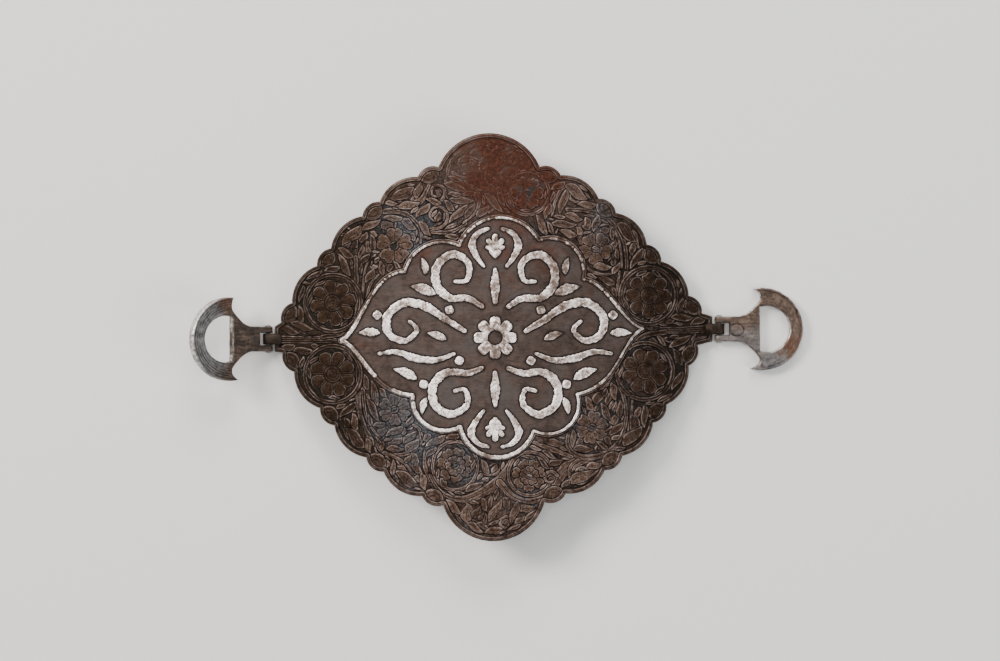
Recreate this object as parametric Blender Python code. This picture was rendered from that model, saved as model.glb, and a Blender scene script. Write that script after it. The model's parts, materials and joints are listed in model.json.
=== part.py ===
"""Arm guard: a lobed, chased steel plate with a silver overlaid panel and two hinged strap loops.

The plate lies on its back. X runs along the length over the two loops, Y across the arm guard, Z up out
of its face. The plate is arched about Y, so its two knuckles rest on the ground and its middle stands off.
Plan shapes are tables and formulas in millimetres round the plate's own middle, and become metres when a
mesh is made.
"""
import math

import bmesh
import bpy
from mathutils import Matrix, Vector

MM = 0.001

# Plate: heights are measured from its underside, along the plate's own normal.
ARCH_RADIUS = 200.0
ARCH_CROWN = 14.05
PLATE_EDGE = 1.4
RIM_TOP = 1.75
RIM_CHAMFER = 0.35
RIM_WIDTH = 1.1
GROUND = 1.2
ROOT_DEPTH = 0.5
STATION_STEP = 11.0

# Hinges: both axes run along Y.
HINGE_X = {"left": -73.3, "right": 74.6}
HINGE_Y = {"left": -0.5, "right": 2.8}
KNUCKLE_RADIUS = 1.7
KNUCKLE_HALF_WIDTH = 1.75
SHOULDER_GAP = 2.6
TONGUE_HALF_WIDTH = 4.1
PIN_RADIUS = 0.75
PIN_GAP = 0.2
PIN_HEAD_RADIUS = 1.05
PIN_HEAD = 0.35

# Strap loops: u runs outward from the hinge axis, v across the loop.
LOOP_THICKNESS = 2.8
LOOP_CHAMFER = 0.3
LOOP_TILT = {"left": 33.0, "right": -0.5}
BOW_CENTRE = 14.0
BOW_RADIUS = 13.5
HORN_ANGLES = {"left": (102.0, 95.0), "right": (102.0, 106.0)}
OPENING_CENTRE = 15.6
OPENING_RADIUS = 7.55
BAR_FACE = 13.3
FORK_ROOT = 3.4
FORK_SLOT_HALF = 2.05
ARM_END_RADIUS = 1.5
NECK_END = 6.2

# Silver overlay
SILVER_GAP = 0.15
SILVER_THICKNESS = 0.35
SILVER_LINE = 1.5

# Outer edge: in each quarter the lobes stand along a guide curve, from the pole lobe out to the tongue. A
# guide is given by its end, its two control points and its other end. A quarter has seven lobes: small,
# medium, small, and so on, and a medium lobe is twice as long as a small one. The guides are laid out by
# eye, so the quarters differ a little.
EDGE_GUIDES = {
    "upper_right": ((15.5, 55.0), (36.5, 48.0), (50.0, 31.5), (68.5, 8.0)),
    "upper_left": ((-17.0, 55.0), (-38.5, 46.0), (-56.5, 27.0), (-68.5, 5.0)),
    "lower_left": ((-15.5, -54.0), (-37.0, -46.0), (-56.0, -25.5), (-68.0, -5.0)),
    "lower_right": ((17.0, -53.0), (39.0, -45.5), (57.0, -27.0), (67.0, -2.5)),
}
LOBE_SHARES = (1, 2, 1, 2, 1, 2, 1)
SMALL_LOBE_RISE = 0.20
MEDIUM_LOBE_RISE = 0.165
POLE_LOBE_RISE = {"upper": 10.8, "lower": 12.0}

# Silver line of the panel: (kind, start, shape, steps). An arc's shape is its rise over its chord, a
# curve's is its two inner control points. Each row ends where the next one starts.
PANEL_LINE = (
    ("curve", (48.5, 2.9), ((41.0, 5.7), (37.1, 18.3)), 7),
    ("arc", (29.0, 18.7), 0.31, 6),
    ("arc", (15.0, 31.1), 0.326, 8),
    ("arc", (-10.2, 29.5), 0.24, 6),
    ("curve", (-27.6, 21.2), ((-38.7, 21.3), (-42.0, 1.5)), 7),
    ("curve", (-48.4, -1.0), ((-42.0, -1.8), (-38.7, -17.9)), 7),
    ("arc", (-25.0, -18.5), 0.31, 6),
    ("arc", (-9.8, -28.5), 0.40, 8),
    ("arc", (13.4, -29.8), 0.34, 6),
    ("curve", (27.3, -18.2), ((41.0, -15.4), (41.0, -1.4)), 7),
)
PANEL_TOP = 1.7
PANEL_BEVEL = 0.3
PANEL_MARGIN = 1.15

# Relief, one row for each form: positions and sizes in the plan.
ROSES = ((-51.3, 11.4), (-51.4, -12.2), (50.7, 13.9), (49.6, -10.9))
ROSE_REACH = 6.7
ROSE_PETALS = 8
ROSE_EYE = 2.9
ROSE_SCROLL = 8.5
FLOWERS = (  # x, y, reach, petals, turn in degrees
    (-31.0, 29.7, 6.0, 5, 18.0),
    (-30.9, -23.6, 5.1, 6, 30.0),
    (-11.5, -41.3, 5.2, 5, 50.0),
    (12.6, -43.6, 5.0, 5, 10.0),
    (32.2, -28.8, 5.3, 6, 20.0),
    (33.2, 28.8, 5.3, 5, 54.0),
    (10.8, 46.9, 5.9, 6, 0.0),
)
FLOWER_EYE = 1.35
# A petal's edge: (share of its angle, share of the reach)
SQUARE_PETAL = ((0.0, 0.84), (0.32, 1.0), (0.68, 1.0))
ROUND_PETAL = ((0.0, 0.58), (0.24, 0.92), (0.5, 1.0), (0.76, 0.92))
SCROLL_RINGS = (  # x, y, radius to the middle of the band
    (-17.3, 47.4, 3.2),
    (-16.8, 38.8, 4.0),
    (28.5, -43.4, 4.4),
    (4.2, -59.1, 2.0),
    (-11.4, -41.9, 7.5),
    (13.6, -43.0, 7.2),
    (10.8, 46.9, 7.5),
)
SCROLL_BAND = 0.8
STEMS = (  # width at the root, width at the tip, route
    (1.6, 1.0, ((-39.7, 38.4), (-35.1, 40.3), (-29.9, 40.6), (-26.3, 39.0), (-22.4, 34.4))),
    (1.5, 0.9, ((-30.6, 41.3), (-25.4, 41.9), (-22.4, 44.1), (-21.0, 47.3), (-19.0, 50.8))),
    (1.4, 0.8, ((-18.5, 34.4), (-12.4, 34.0), (-7.9, 36.3))),
    (2.6, 1.3, ((-70.6, -0.4), (-53.9, -0.4), (-46.3, -2.1), (-42.3, -6.2), (-42.8, -12.5),
                (-42.7, -19.9), (-41.3, -27.4))),
    (2.0, 1.1, ((-54.5, 0.4), (-47.6, 1.8), (-43.2, 6.4), (-42.6, 12.2), (-43.8, 20.3), (-44.3, 27.1),
                (-42.7, 33.3), (-39.7, 38.4))),
    (1.3, 0.8, ((-42.2, -14.7), (-41.0, -25.4), (-38.4, -30.3), (-35.4, -32.8))),
    (1.3, 0.9, ((-41.7, -26.0), (-39.7, -32.9), (-34.6, -37.3), (-28.4, -37.6), (-24.2, -36.3),
                (-21.9, -32.7))),
    (1.2, 0.8, ((-34.6, -37.3), (-30.4, -38.8), (-26.6, -42.2))),
    (1.1, 2.2, ((-19.0, -46.8), (-14.4, -50.4), (-6.9, -51.7), (-0.6, -48.5), (3.0, -44.2), (5.6, -39.6))),
    (1.6, 1.0, ((-0.6, -48.5), (4.7, -51.4), (10.1, -52.3), (15.8, -51.1), (20.9, -47.2))),
    (1.4, 1.0, ((40.6, -12.4), (42.9, -20.4), (43.3, -25.4), (41.8, -31.6), (38.3, -36.5), (33.5, -38.0),
                (28.5, -37.0), (22.8, -32.4))),
    (1.2, 1.8, ((13.9, -33.9), (21.1, -37.2), (27.3, -38.8), (34.8, -39.2), (39.2, -37.7))),
    (1.4, 1.0, ((24.3, 41.3), (29.8, 41.1), (36.0, 38.9), (39.8, 36.0), (43.2, 30.4))),
    (2.6, 1.0, ((71.6, 2.8), (54.9, 2.6), (46.6, 5.6), (42.3, 11.0), (43.0, 20.3), (43.2, 30.4))),
    (2.0, 1.2, ((54.9, 2.2), (48.3, 0.2), (42.9, -4.6), (40.6, -12.4))),
)
LEAVES = (  # x, y, length, width, direction of the tip in degrees
    (-34.6, 35.8, 5.4, 2.4, 25.0),
    (-25.0, 36.6, 5.6, 2.4, 140.0),
    (-19.8, 34.0, 4.2, 2.4, -60.0),
    (-29.6, -32.9, 6.4, 2.4, 20.0),
    (-25.0, -35.0, 6.0, 2.6, 45.0),
    (-36.4, -29.4, 4.0, 2.5, 60.0),
    (-28.8, -42.2, 4.2, 2.8, 160.0),
    (-22.4, -42.8, 4.4, 2.6, -20.0),
    (-25.8, -46.0, 4.4, 3.2, -95.0),
    (-22.6, -39.2, 4.8, 2.6, 120.0),
    (27.6, -34.0, 3.8, 3.0, 90.0),
    (39.4, -26.6, 3.8, 3.2, 80.0),
    (33.9, -20.6, 4.4, 2.8, 110.0),
    (38.0, -19.6, 5.4, 1.8, 75.0),
    (30.0, 36.8, 4.4, 2.8, 150.0),
    (37.4, 34.2, 4.4, 2.2, -50.0),
    (-8.4, -56.2, 6.4, 3.4, 60.0),
    (-2.6, -54.6, 6.4, 2.2, -65.0),
    (2.8, -54.2, 4.6, 2.6, 80.0),
    (10.6, -56.4, 5.6, 3.0, 20.0),
    (38.4, 16.8, 4.8, 1.8, 110.0),
    (-39.2, 18.8, 4.8, 1.8, 70.0),
)
RELIEF_TOPS = {"leaf": 1.50, "stem": 1.56, "ring": 1.62, "flower": 1.80, "eye": 2.0}

# Silver overlay of the panel, measured from its middle line. Vines are routes with a width at the root,
# the belly and the tip; leaves are as in the relief. Each has a mirrored twin on the left.
PANEL_MIDDLE_X = 1.2
VINES = {
    "upper_vine": ((1.4, 2.5, 2.4, 1.0), ((3.6, 9.6), (8.6, 12.6), (14.4, 12.8), (18.6, 17.0), (18.4, 23.2),
                                          (13.6, 26.8), (8.6, 24.0), (9.0, 18.6), (13.2, 18.0))),
    "side_vine": ((1.4, 2.6, 2.4, 1.0), ((9.2, 1.8), (15.4, 5.6), (22.4, 10.2), (29.2, 11.2), (34.4, 7.0),
                                         (33.8, 1.2), (28.8, -1.0), (25.0, 2.4), (27.6, 5.6))),
    "lower_vine": ((1.4, 2.5, 2.4, 1.0), ((3.6, -9.6), (9.0, -11.4), (15.4, -11.2), (19.8, -15.4),
                                          (19.2, -21.6), (14.0, -24.6), (9.0, -21.6), (9.6, -16.8),
                                          (13.4, -17.2))),
    "heel_vine": ((1.0, 2.3, 1.0), ((12.6, -5.0), (18.6, -7.2), (25.4, -6.6), (31.4, -4.6), (37.6, -5.2))),
    "crown_vine": ((0.9, 2.2, 0.9), ((3.4, 22.6), (6.0, 26.2), (7.4, 30.2), (5.4, 33.6), (1.8, 35.2))),
    "root_vine": ((0.9, 2.2, 0.9), ((3.4, -23.2), (6.0, -26.8), (7.6, -30.6), (5.4, -34.0), (1.8, -35.2))),
}
OVERLAY_LEAVES = {
    "upper_leaf": (23.0, 15.2, 8.4, 3.2, 18.0),
    "upper_bud": (22.8, 23.0, 5.6, 2.2, 78.0),
    "lower_bud": (22.6, -22.0, 5.6, 2.2, -75.0),
    "tip_leaf": (40.3, 1.4, 7.0, 2.6, 0.0),
    "heel_leaf": (28.8, -11.8, 8.2, 3.0, 24.0),
    "inner_leaf": (18.6, 0.4, 6.4, 2.4, 20.0),
}
DOTS = {
    "upper_dot": (14.6, 8.9),
    "lower_dot": (11.4, -7.4),
    "side_dot": (37.7, 7.3),
    "heel_dot": (22.8, -15.0),
}
DOT_RADIUS = 1.4
PALMETTES = {"upper_palmette": (28.0, 5.4, 90.0), "lower_palmette": (-28.0, 5.4, -90.0)}
MIDDLE_STEMS = {"upper_stem": (10.6, 22.4), "lower_stem": (-10.6, -22.4)}
MIDDLE_STEM_WIDTHS = (1.0, 3.0, 1.0)
ROSETTE_REACH = 6.8
ROSETTE_HOLE = 2.4

STEEL = ("steel", (0.20, 0.155, 0.125, 1.0), 0.5)
LOOP_STEEL = ("loop_steel", (0.26, 0.21, 0.185, 1.0), 0.42)
SILVER = ("silver", (0.82, 0.77, 0.74, 1.0), 0.35)


# ---------------------------------------------------------------- plan curves

def arc(start, end, rise, steps):
    """Points of a circular arc that stands out to the right of start to end by rise, without its end."""
    start, end = Vector(start), Vector(end)
    chord = end - start
    along = chord.normalized()
    outward = Vector((along.y, -along.x))
    radius = (chord.length ** 2 / 4.0 + rise ** 2) / (2.0 * rise)
    centre = (start + end) / 2.0 - outward * (radius - rise)
    half = math.asin(min(1.0, chord.length / (2.0 * radius)))
    if rise > radius:
        half = math.pi - half
    points = []
    for step in range(steps):
        angle = half * (2.0 * step / steps - 1.0)
        points.append(centre + radius * (outward * math.cos(angle) + along * math.sin(angle)))
    return points


def curve(start, first, second, end, steps):
    """Points of a cubic curve from start to end through two control points, without its end."""
    start, first, second, end = (Vector(point) for point in (start, first, second, end))
    points = []
    for step in range(steps):
        t = step / steps
        points.append(start * (1 - t) ** 3 + first * 3 * t * (1 - t) ** 2
                      + second * 3 * t * t * (1 - t) + end * t ** 3)
    return points


def guide_cusps(guide):
    """The cusps between the lobes of a quarter: its guide cut into lengths by LOBE_SHARES."""
    start, first, second, end = guide
    points = curve(start, first, second, end, 400) + [Vector(end)]
    reach = [0.0]
    for here, there in zip(points, points[1:]):
        reach.append(reach[-1] + (there - here).length)
    cusps = [tuple(start)]
    for count in range(1, len(LOBE_SHARES)):
        wanted = reach[-1] * sum(LOBE_SHARES[:count]) / sum(LOBE_SHARES)
        index = next(index for index, length in enumerate(reach) if length >= wanted)
        share = (wanted - reach[index - 1]) / (reach[index] - reach[index - 1])
        cusps.append(tuple(points[index - 1].lerp(points[index], share)))
    return cusps + [tuple(end)]


EDGE_CUSPS = {quarter: guide_cusps(guide) for quarter, guide in EDGE_GUIDES.items()}


def smooth_route(knots, steps):
    """Points of a smooth curve through all the knots, with steps points to each span."""
    knots = [Vector(knot) for knot in knots]
    points = []
    for index in range(len(knots) - 1):
        here, there = knots[index], knots[index + 1]
        before = knots[index - 1] if index else here * 2 - there
        after = knots[index + 2] if index + 2 < len(knots) else there * 2 - here
        points += curve(here, here + (there - before) / 6, there - (after - here) / 6, there, steps)
    return points + [knots[-1]]


def inset(outline, distance):
    """The closed outline moved to its left by distance, with mitred corners."""
    moved = []
    for index, point in enumerate(outline):
        before = (point - outline[index - 1]).normalized()
        after = (outline[(index + 1) % len(outline)] - point).normalized()
        normal = Vector((-before.y - after.y, before.x + after.x)).normalized()
        moved.append(point + normal * (distance / max(0.35, normal.dot(Vector((-after.y, after.x))))))
    return moved


def ribbon(route, widths):
    """Closed outline of a band along the route, its width blended through the values in widths."""
    left, right = [], []
    for index, point in enumerate(route):
        ahead = route[min(index + 1, len(route) - 1)] - route[max(index - 1, 0)]
        side = Vector((-ahead.y, ahead.x)).normalized()
        place = index / (len(route) - 1) * (len(widths) - 1)
        low = min(int(place), len(widths) - 2)
        half = (widths[low] + (widths[low + 1] - widths[low]) * (place - low)) / 2.0
        left.append(point + side * half)
        right.append(point - side * half)
    return right + left[::-1]


def round_outline(x, y, radius, sides):
    """A regular polygon."""
    return [Vector((x + radius * math.cos(2 * math.pi * side / sides),
                    y + radius * math.sin(2 * math.pi * side / sides))) for side in range(sides)]


def petal_outline(x, y, reach, petals, turn, petal_shape):
    """A flower, whose petal is rows of (share of its angle, share of the reach)."""
    points = []
    for petal in range(petals):
        for share, radius in petal_shape:
            angle = math.radians(turn) + 2 * math.pi * (petal + share) / petals
            points.append(Vector((x + reach * radius * math.cos(angle), y + reach * radius * math.sin(angle))))
    return points


def leaf_outline(x, y, length, width, direction):
    """A leaf: round at its root, widest at 40 % of its length, pointed at its tip."""
    ahead = Vector((math.cos(math.radians(direction)), math.sin(math.radians(direction))))
    side = Vector((-ahead.y, ahead.x))
    middle = Vector((x, y))
    shape = ((-0.5, 0.0), (-0.26, -0.46), (0.14, -0.42), (0.5, 0.0), (0.14, 0.42), (-0.26, 0.46))
    return [middle + ahead * length * along + side * width * across for along, across in shape]


# ---------------------------------------------------------------- solids

def new_object(name, mesh_data, material):
    """Link an object made from a bmesh, with outward faces."""
    bmesh.ops.recalc_face_normals(mesh_data, faces=mesh_data.faces)
    mesh = bpy.data.meshes.new(name)
    mesh_data.to_mesh(mesh)
    mesh_data.free()
    item = bpy.data.objects.new(name, mesh)
    bpy.context.scene.collection.objects.link(item)
    if material:
        mesh.materials.append(material)
    return item


def stacked_solid(name, rings, material=None):
    """A solid whose equal rings, each an outline and a height, are joined in turn and capped."""
    solid = bmesh.new()
    loops = [[solid.verts.new((p.x, p.y, height)) for p in outline] for outline, height in rings]
    count = len(loops[0])
    for low, high in zip(loops, loops[1:]):
        for index in range(count):
            after = (index + 1) % count
            solid.faces.new((low[index], low[after], high[after], high[index]))
    solid.faces.new(loops[0][::-1])
    solid.faces.new(loops[-1])
    return new_object(name, solid, material)


def ring_solid(name, outer, inner, bottom, top, material=None):
    """A flat band between two outlines with the same number of points."""
    solid = bmesh.new()
    profile = ((outer, bottom), (outer, top), (inner, top), (inner, bottom))
    loops = [[solid.verts.new((p.x, p.y, height)) for p in outline] for outline, height in profile]
    count = len(outer)
    for near, far in zip(loops, loops[1:] + loops[:1]):
        for index in range(count):
            after = (index + 1) % count
            solid.faces.new((near[index], near[after], far[after], far[index]))
    return new_object(name, solid, material)


def prism(name, outline, bottom, top, material=None):
    """An upright solid with one outline."""
    return stacked_solid(name, ((outline, bottom), (outline, top)), material)


def apply_modifiers(item):
    """Replace the object's mesh by what its modifiers make of it."""
    finished = bpy.data.meshes.new_from_object(item.evaluated_get(bpy.context.evaluated_depsgraph_get()))
    item.modifiers.clear()
    item.data = finished


def combine(item, tools, operation):
    """Apply one Boolean of the item with all the tools, and delete the tools."""
    tool_set = bpy.data.collections.new("tools")
    bpy.context.scene.collection.children.link(tool_set)
    for tool in tools:
        bpy.context.scene.collection.objects.unlink(tool)
        tool_set.objects.link(tool)
    cut = item.modifiers.new("combine", "BOOLEAN")
    cut.operation = operation
    cut.operand_type = "COLLECTION"
    cut.collection = tool_set
    cut.solver = "EXACT"
    apply_modifiers(item)
    for tool in tools:
        bpy.data.objects.remove(tool)
    bpy.data.collections.remove(tool_set)


def split_at_stations(item):
    """Cut the faces along lines of equal X, so that the arch follows them."""
    mesh_data = bmesh.new()
    mesh_data.from_mesh(item.data)
    for station in range(-6, 7):
        plane_point = Vector((station * STATION_STEP, 0.0, 0.0))
        geometry = mesh_data.verts[:] + mesh_data.edges[:] + mesh_data.faces[:]
        bmesh.ops.bisect_plane(mesh_data, geom=geometry, plane_co=plane_point, plane_no=(1, 0, 0), dist=1e-4)
    mesh_data.to_mesh(item.data)
    mesh_data.free()


def arch(item):
    """Bend a flat solid about Y: x keeps its plan place on the underside, height runs along the normal."""
    mesh_data = bmesh.new()
    mesh_data.from_mesh(item.data)
    bmesh.ops.triangulate(mesh_data, faces=mesh_data.faces)
    for vertex in mesh_data.verts:
        x, y, height = vertex.co
        lean = x / ARCH_RADIUS
        reach = ARCH_RADIUS + height
        vertex.co = (reach * lean * MM, y * MM,
                     (reach * math.sqrt(1.0 - lean * lean) - ARCH_RADIUS + ARCH_CROWN) * MM)
    mesh_data.to_mesh(item.data)
    mesh_data.free()


def make_material(name, colour, roughness):
    """A metal with one colour."""
    material = bpy.data.materials.new(name)
    material.use_nodes = True
    shader = material.node_tree.nodes["Principled BSDF"]
    shader.inputs["Base Color"].default_value = colour
    shader.inputs["Roughness"].default_value = roughness
    shader.inputs["Metallic"].default_value = 1.0
    return material


# ---------------------------------------------------------------- plate

def lobe_run(cusps, forward):
    """Edge points over the seven lobes of a quarter, either way round, without the last cusp."""
    rows = cusps if forward else cusps[::-1]
    points = []
    for index, (start, end) in enumerate(zip(rows, rows[1:])):
        medium = index % 2 == 1
        share = MEDIUM_LOBE_RISE if medium else SMALL_LOBE_RISE
        rise = share * (Vector(end) - Vector(start)).length
        points += arc(start, end, rise, 5 if medium else 3)
    return points


def tongue_points(side):
    """The free end of a tongue, at the hinge shoulder, counter-clockwise."""
    outward = 1 if side == "right" else -1
    shoulder = HINGE_X[side] - outward * SHOULDER_GAP
    middle = HINGE_Y[side]
    root = shoulder - outward * 1.4
    corners = [(root, -TONGUE_HALF_WIDTH - 0.1), (shoulder, -TONGUE_HALF_WIDTH),
               (shoulder, TONGUE_HALF_WIDTH), (root, TONGUE_HALF_WIDTH + 0.1)]
    if side == "left":
        corners.reverse()
    return [Vector((x, y + middle)) for x, y in corners]


def edge_outline():
    """The whole outer edge, counter-clockwise from the right tongue."""
    upper_right, upper_left = EDGE_CUSPS["upper_right"], EDGE_CUSPS["upper_left"]
    lower_left, lower_right = EDGE_CUSPS["lower_left"], EDGE_CUSPS["lower_right"]
    points = tongue_points("right")
    points += lobe_run(upper_right, False)
    points += arc(upper_right[0], upper_left[0], POLE_LOBE_RISE["upper"], 13)
    points += lobe_run(upper_left, True) + [Vector(upper_left[-1])]
    points += tongue_points("left")
    points += lobe_run(lower_left, False)
    points += arc(lower_left[0], lower_right[0], POLE_LOBE_RISE["lower"], 13)
    points += lobe_run(lower_right, True) + [Vector(lower_right[-1])]
    return points


def panel_line():
    """The silver line round the panel, counter-clockwise."""
    points = []
    for index, (kind, start, shape, steps) in enumerate(PANEL_LINE):
        end = PANEL_LINE[(index + 1) % len(PANEL_LINE)][1]
        if kind == "arc":
            rise = shape * (Vector(end) - Vector(start)).length
            points += arc(start, end, rise, steps)
        else:
            points += curve(start, shape[0], shape[1], end, steps)
    return points


def lobe_leaves():
    """Rows for the leaf in each lobe, along its chord."""
    rows = []
    for cusps in EDGE_CUSPS.values():
        for index, (start, end) in enumerate(zip(cusps, cusps[1:])):
            if index == 5:
                continue
            start, end = Vector(start), Vector(end)
            chord = end - start
            middle = (start + end) / 2
            inward = 0.4 if index % 2 == 0 else 1.6
            middle -= middle.normalized() * inward
            size = (0.5, 0.24) if index % 2 == 0 else (0.62, 0.24)
            rows.append((middle.x, middle.y, chord.length * size[0], chord.length * size[1],
                         math.degrees(math.atan2(chord.y, chord.x))))
    return rows


def relief_solids():
    """All the raised flowers, stems, rings and leaves, as upright solids rooted in the plate."""
    outlines = []
    for x, y in ROSES:
        outlines.append(("flower", petal_outline(x, y, ROSE_REACH, ROSE_PETALS, 10.0, SQUARE_PETAL)))
        outlines.append(("eye", round_outline(x, y, ROSE_EYE, 12)))
    for x, y, reach, petals, turn in FLOWERS:
        outlines.append(("flower", petal_outline(x, y, reach, petals, turn, ROUND_PETAL)))
        outlines.append(("eye", round_outline(x, y, FLOWER_EYE, 8)))
    for root_width, tip_width, knots in STEMS:
        outlines.append(("stem", ribbon(smooth_route(knots, 2), (root_width, tip_width))))
    for row in LEAVES + tuple(lobe_leaves()):
        outlines.append(("leaf", leaf_outline(*row)))
    solids = []
    for kind, outline in outlines:
        solids.append(prism("relief", outline, ROOT_DEPTH, RELIEF_TOPS[kind]))
    rings = SCROLL_RINGS + tuple((x, y, ROSE_SCROLL) for x, y in ROSES)
    for x, y, radius in rings:
        sides = 9 + round(radius / 1.5)
        outer = round_outline(x, y, radius + SCROLL_BAND / 2, sides)
        inner = round_outline(x, y, radius - SCROLL_BAND / 2, sides)
        solids.append(ring_solid("relief", outer, inner, ROOT_DEPTH, RELIEF_TOPS["ring"]))
    return solids


def knuckle(side):
    """The hinge eye at the end of a tongue: a round boss and a web running into the tongue."""
    inward = -1 if side == "right" else 1
    profile = [Vector((KNUCKLE_RADIUS * math.cos(angle) * -inward, KNUCKLE_RADIUS * math.sin(angle)))
               for angle in (math.radians(-100 + 20 * step) for step in range(11))]
    profile += [Vector((inward * 5.0, RIM_TOP / 2 - 0.2)), Vector((inward * 5.0, -RIM_TOP / 2 + 0.25))]
    if side == "left":
        profile.reverse()
    eye = prism("knuckle", profile, -KNUCKLE_HALF_WIDTH, KNUCKLE_HALF_WIDTH)
    slope = math.asin(HINGE_X[side] / ARCH_RADIUS)
    place = (Matrix.Translation(Vector((HINGE_X[side], HINGE_Y[side], KNUCKLE_RADIUS)) * MM)
             @ Matrix.Rotation(slope, 4, "Y") @ Matrix.Rotation(math.radians(90), 4, "X")
             @ Matrix.Diagonal((MM, MM, MM, 1.0)))
    eye.data.transform(place)
    return eye


def pin_hole(side, radius):
    """A cutter along the hinge axis of the plate."""
    cutter = prism("pin_hole", round_outline(0, 0, radius, 12), -6.0, 6.0)
    place = (Matrix.Translation(Vector((HINGE_X[side], HINGE_Y[side], KNUCKLE_RADIUS)) * MM)
             @ Matrix.Rotation(math.radians(90), 4, "X") @ Matrix.Diagonal((MM, MM, MM, 1.0)))
    cutter.data.transform(place)
    return cutter


def make_plate(material):
    """The steel plate: blank with rim, centre panel and relief, arched, with its two knuckles."""
    edge = edge_outline()
    plate = stacked_solid("plate", (
        (edge, 0.0),
        (edge, PLATE_EDGE),
        (inset(edge, RIM_CHAMFER), RIM_TOP),
        (inset(edge, RIM_WIDTH), RIM_TOP),
        (inset(edge, RIM_WIDTH + 0.15), GROUND),
    ), material)
    split_at_stations(plate)
    line = panel_line()
    panel = stacked_solid("panel", (
        (inset(line, -PANEL_MARGIN), ROOT_DEPTH - 0.15),
        (inset(line, -PANEL_MARGIN), PANEL_TOP - PANEL_BEVEL),
        (inset(line, PANEL_BEVEL - PANEL_MARGIN), PANEL_TOP),
    ))
    split_at_stations(panel)
    combine(plate, [panel] + relief_solids(), "UNION")
    arch(plate)
    combine(plate, [knuckle("left"), knuckle("right")], "UNION")
    combine(plate, [pin_hole(side, PIN_RADIUS + PIN_GAP) for side in ("left", "right")], "DIFFERENCE")
    plate.data.materials.clear()
    plate.data.materials.append(material)
    return plate


# ---------------------------------------------------------------- silver overlay

def lay_silver(name, outline, material):
    """A piece of sheet silver on the panel, bent with it."""
    bottom = PANEL_TOP + SILVER_GAP
    piece = prism(name, outline, bottom, bottom + SILVER_THICKNESS, material)
    arch(piece)
    return piece


def mirrored(outline):
    """The outline on the other side of the panel's middle line, still counter-clockwise."""
    return [Vector((2 * PANEL_MIDDLE_X - point.x, point.y)) for point in reversed(outline)]


def palmette_outline(x, y, reach, direction):
    """A fan of five lobes on a short foot."""
    points = []
    for lobe, length in enumerate((0.62, 0.84, 1.0, 0.84, 0.62)):
        for share, radius in ((-0.5, 0.55), (-0.25, 0.95), (0.0, 1.0), (0.25, 0.95)):
            angle = math.radians(direction + (lobe - 2 + share) * 34.0)
            points.append((angle, reach * length * radius))
    points.append((math.radians(direction + 2.5 * 34.0), reach * 0.36))
    outline = [Vector((x + radius * math.cos(angle), y + radius * math.sin(angle)))
               for angle, radius in points]
    heading = Vector((math.cos(math.radians(direction)), math.sin(math.radians(direction))))
    return outline + [Vector((x, y)) - heading * reach * 0.45]


def make_overlay(material):
    """All the silver on the panel."""
    line = panel_line()
    bottom = PANEL_TOP + SILVER_GAP
    rim = ring_solid("medallion_rim", inset(line, -SILVER_LINE / 2), inset(line, SILVER_LINE / 2),
                     bottom, bottom + SILVER_THICKNESS, material)
    arch(rim)
    rosette = petal_outline(PANEL_MIDDLE_X, 0.0, ROSETTE_REACH, 8, 0.0, ROUND_PETAL)
    hole = round_outline(PANEL_MIDDLE_X, 0.0, ROSETTE_HOLE, len(rosette))
    centre = ring_solid("centre_rosette", rosette, hole, bottom, bottom + SILVER_THICKNESS, material)
    arch(centre)
    pieces = [rim, centre]
    for name, (y, reach, direction) in PALMETTES.items():
        outline = palmette_outline(PANEL_MIDDLE_X, y, reach, direction)
        pieces.append(lay_silver(name, outline, material))
    for name, (root, tip) in MIDDLE_STEMS.items():
        route = [Vector((PANEL_MIDDLE_X, root + (tip - root) * step / 4)) for step in range(5)]
        pieces.append(lay_silver(name, ribbon(route, MIDDLE_STEM_WIDTHS), material))
    pairs = {name: ribbon(smooth_route(knots, 2), widths) for name, (widths, knots) in VINES.items()}
    pairs.update({name: leaf_outline(*row) for name, row in OVERLAY_LEAVES.items()})
    pairs.update({name: round_outline(x, y, DOT_RADIUS, 6) for name, (x, y) in DOTS.items()})
    for name, outline in pairs.items():
        outline = [point + Vector((PANEL_MIDDLE_X, 0.0)) for point in outline]
        pieces.append(lay_silver(name + "_right", outline, material))
        pieces.append(lay_silver(name + "_left", mirrored(outline), material))
    return pieces


# ---------------------------------------------------------------- strap loops and pins

def loop_outline(side):
    """The loop seen flat, counter-clockwise: fork, flaring neck, horned bow."""
    upper_horn, lower_horn = (math.radians(angle) for angle in HORN_ANGLES[side])

    def on_bow(angle):
        return Vector((BOW_CENTRE + BOW_RADIUS * math.cos(angle), BOW_RADIUS * math.sin(angle)))

    def half(horn):
        """From the fork's end to the horn's tip, on the +v side."""
        tip = on_bow(horn)
        bend = (13.2, 9.2)
        points = [Vector((0.0, TONGUE_HALF_WIDTH)), Vector((NECK_END / 2, TONGUE_HALF_WIDTH))]
        points += curve((NECK_END, TONGUE_HALF_WIDTH), (8.0, 4.2), (10.2, 5.4), bend, 5)
        points += curve(bend, (13.9, 10.4), (13.5, 12.0), tip, 3)
        return points

    lower = [Vector((point.x, -point.y)) for point in half(lower_horn)]
    steps = 18
    bow = [on_bow(-lower_horn + (lower_horn + upper_horn) * step / steps) for step in range(steps + 1)]
    return lower + bow + half(upper_horn)[::-1]


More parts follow.
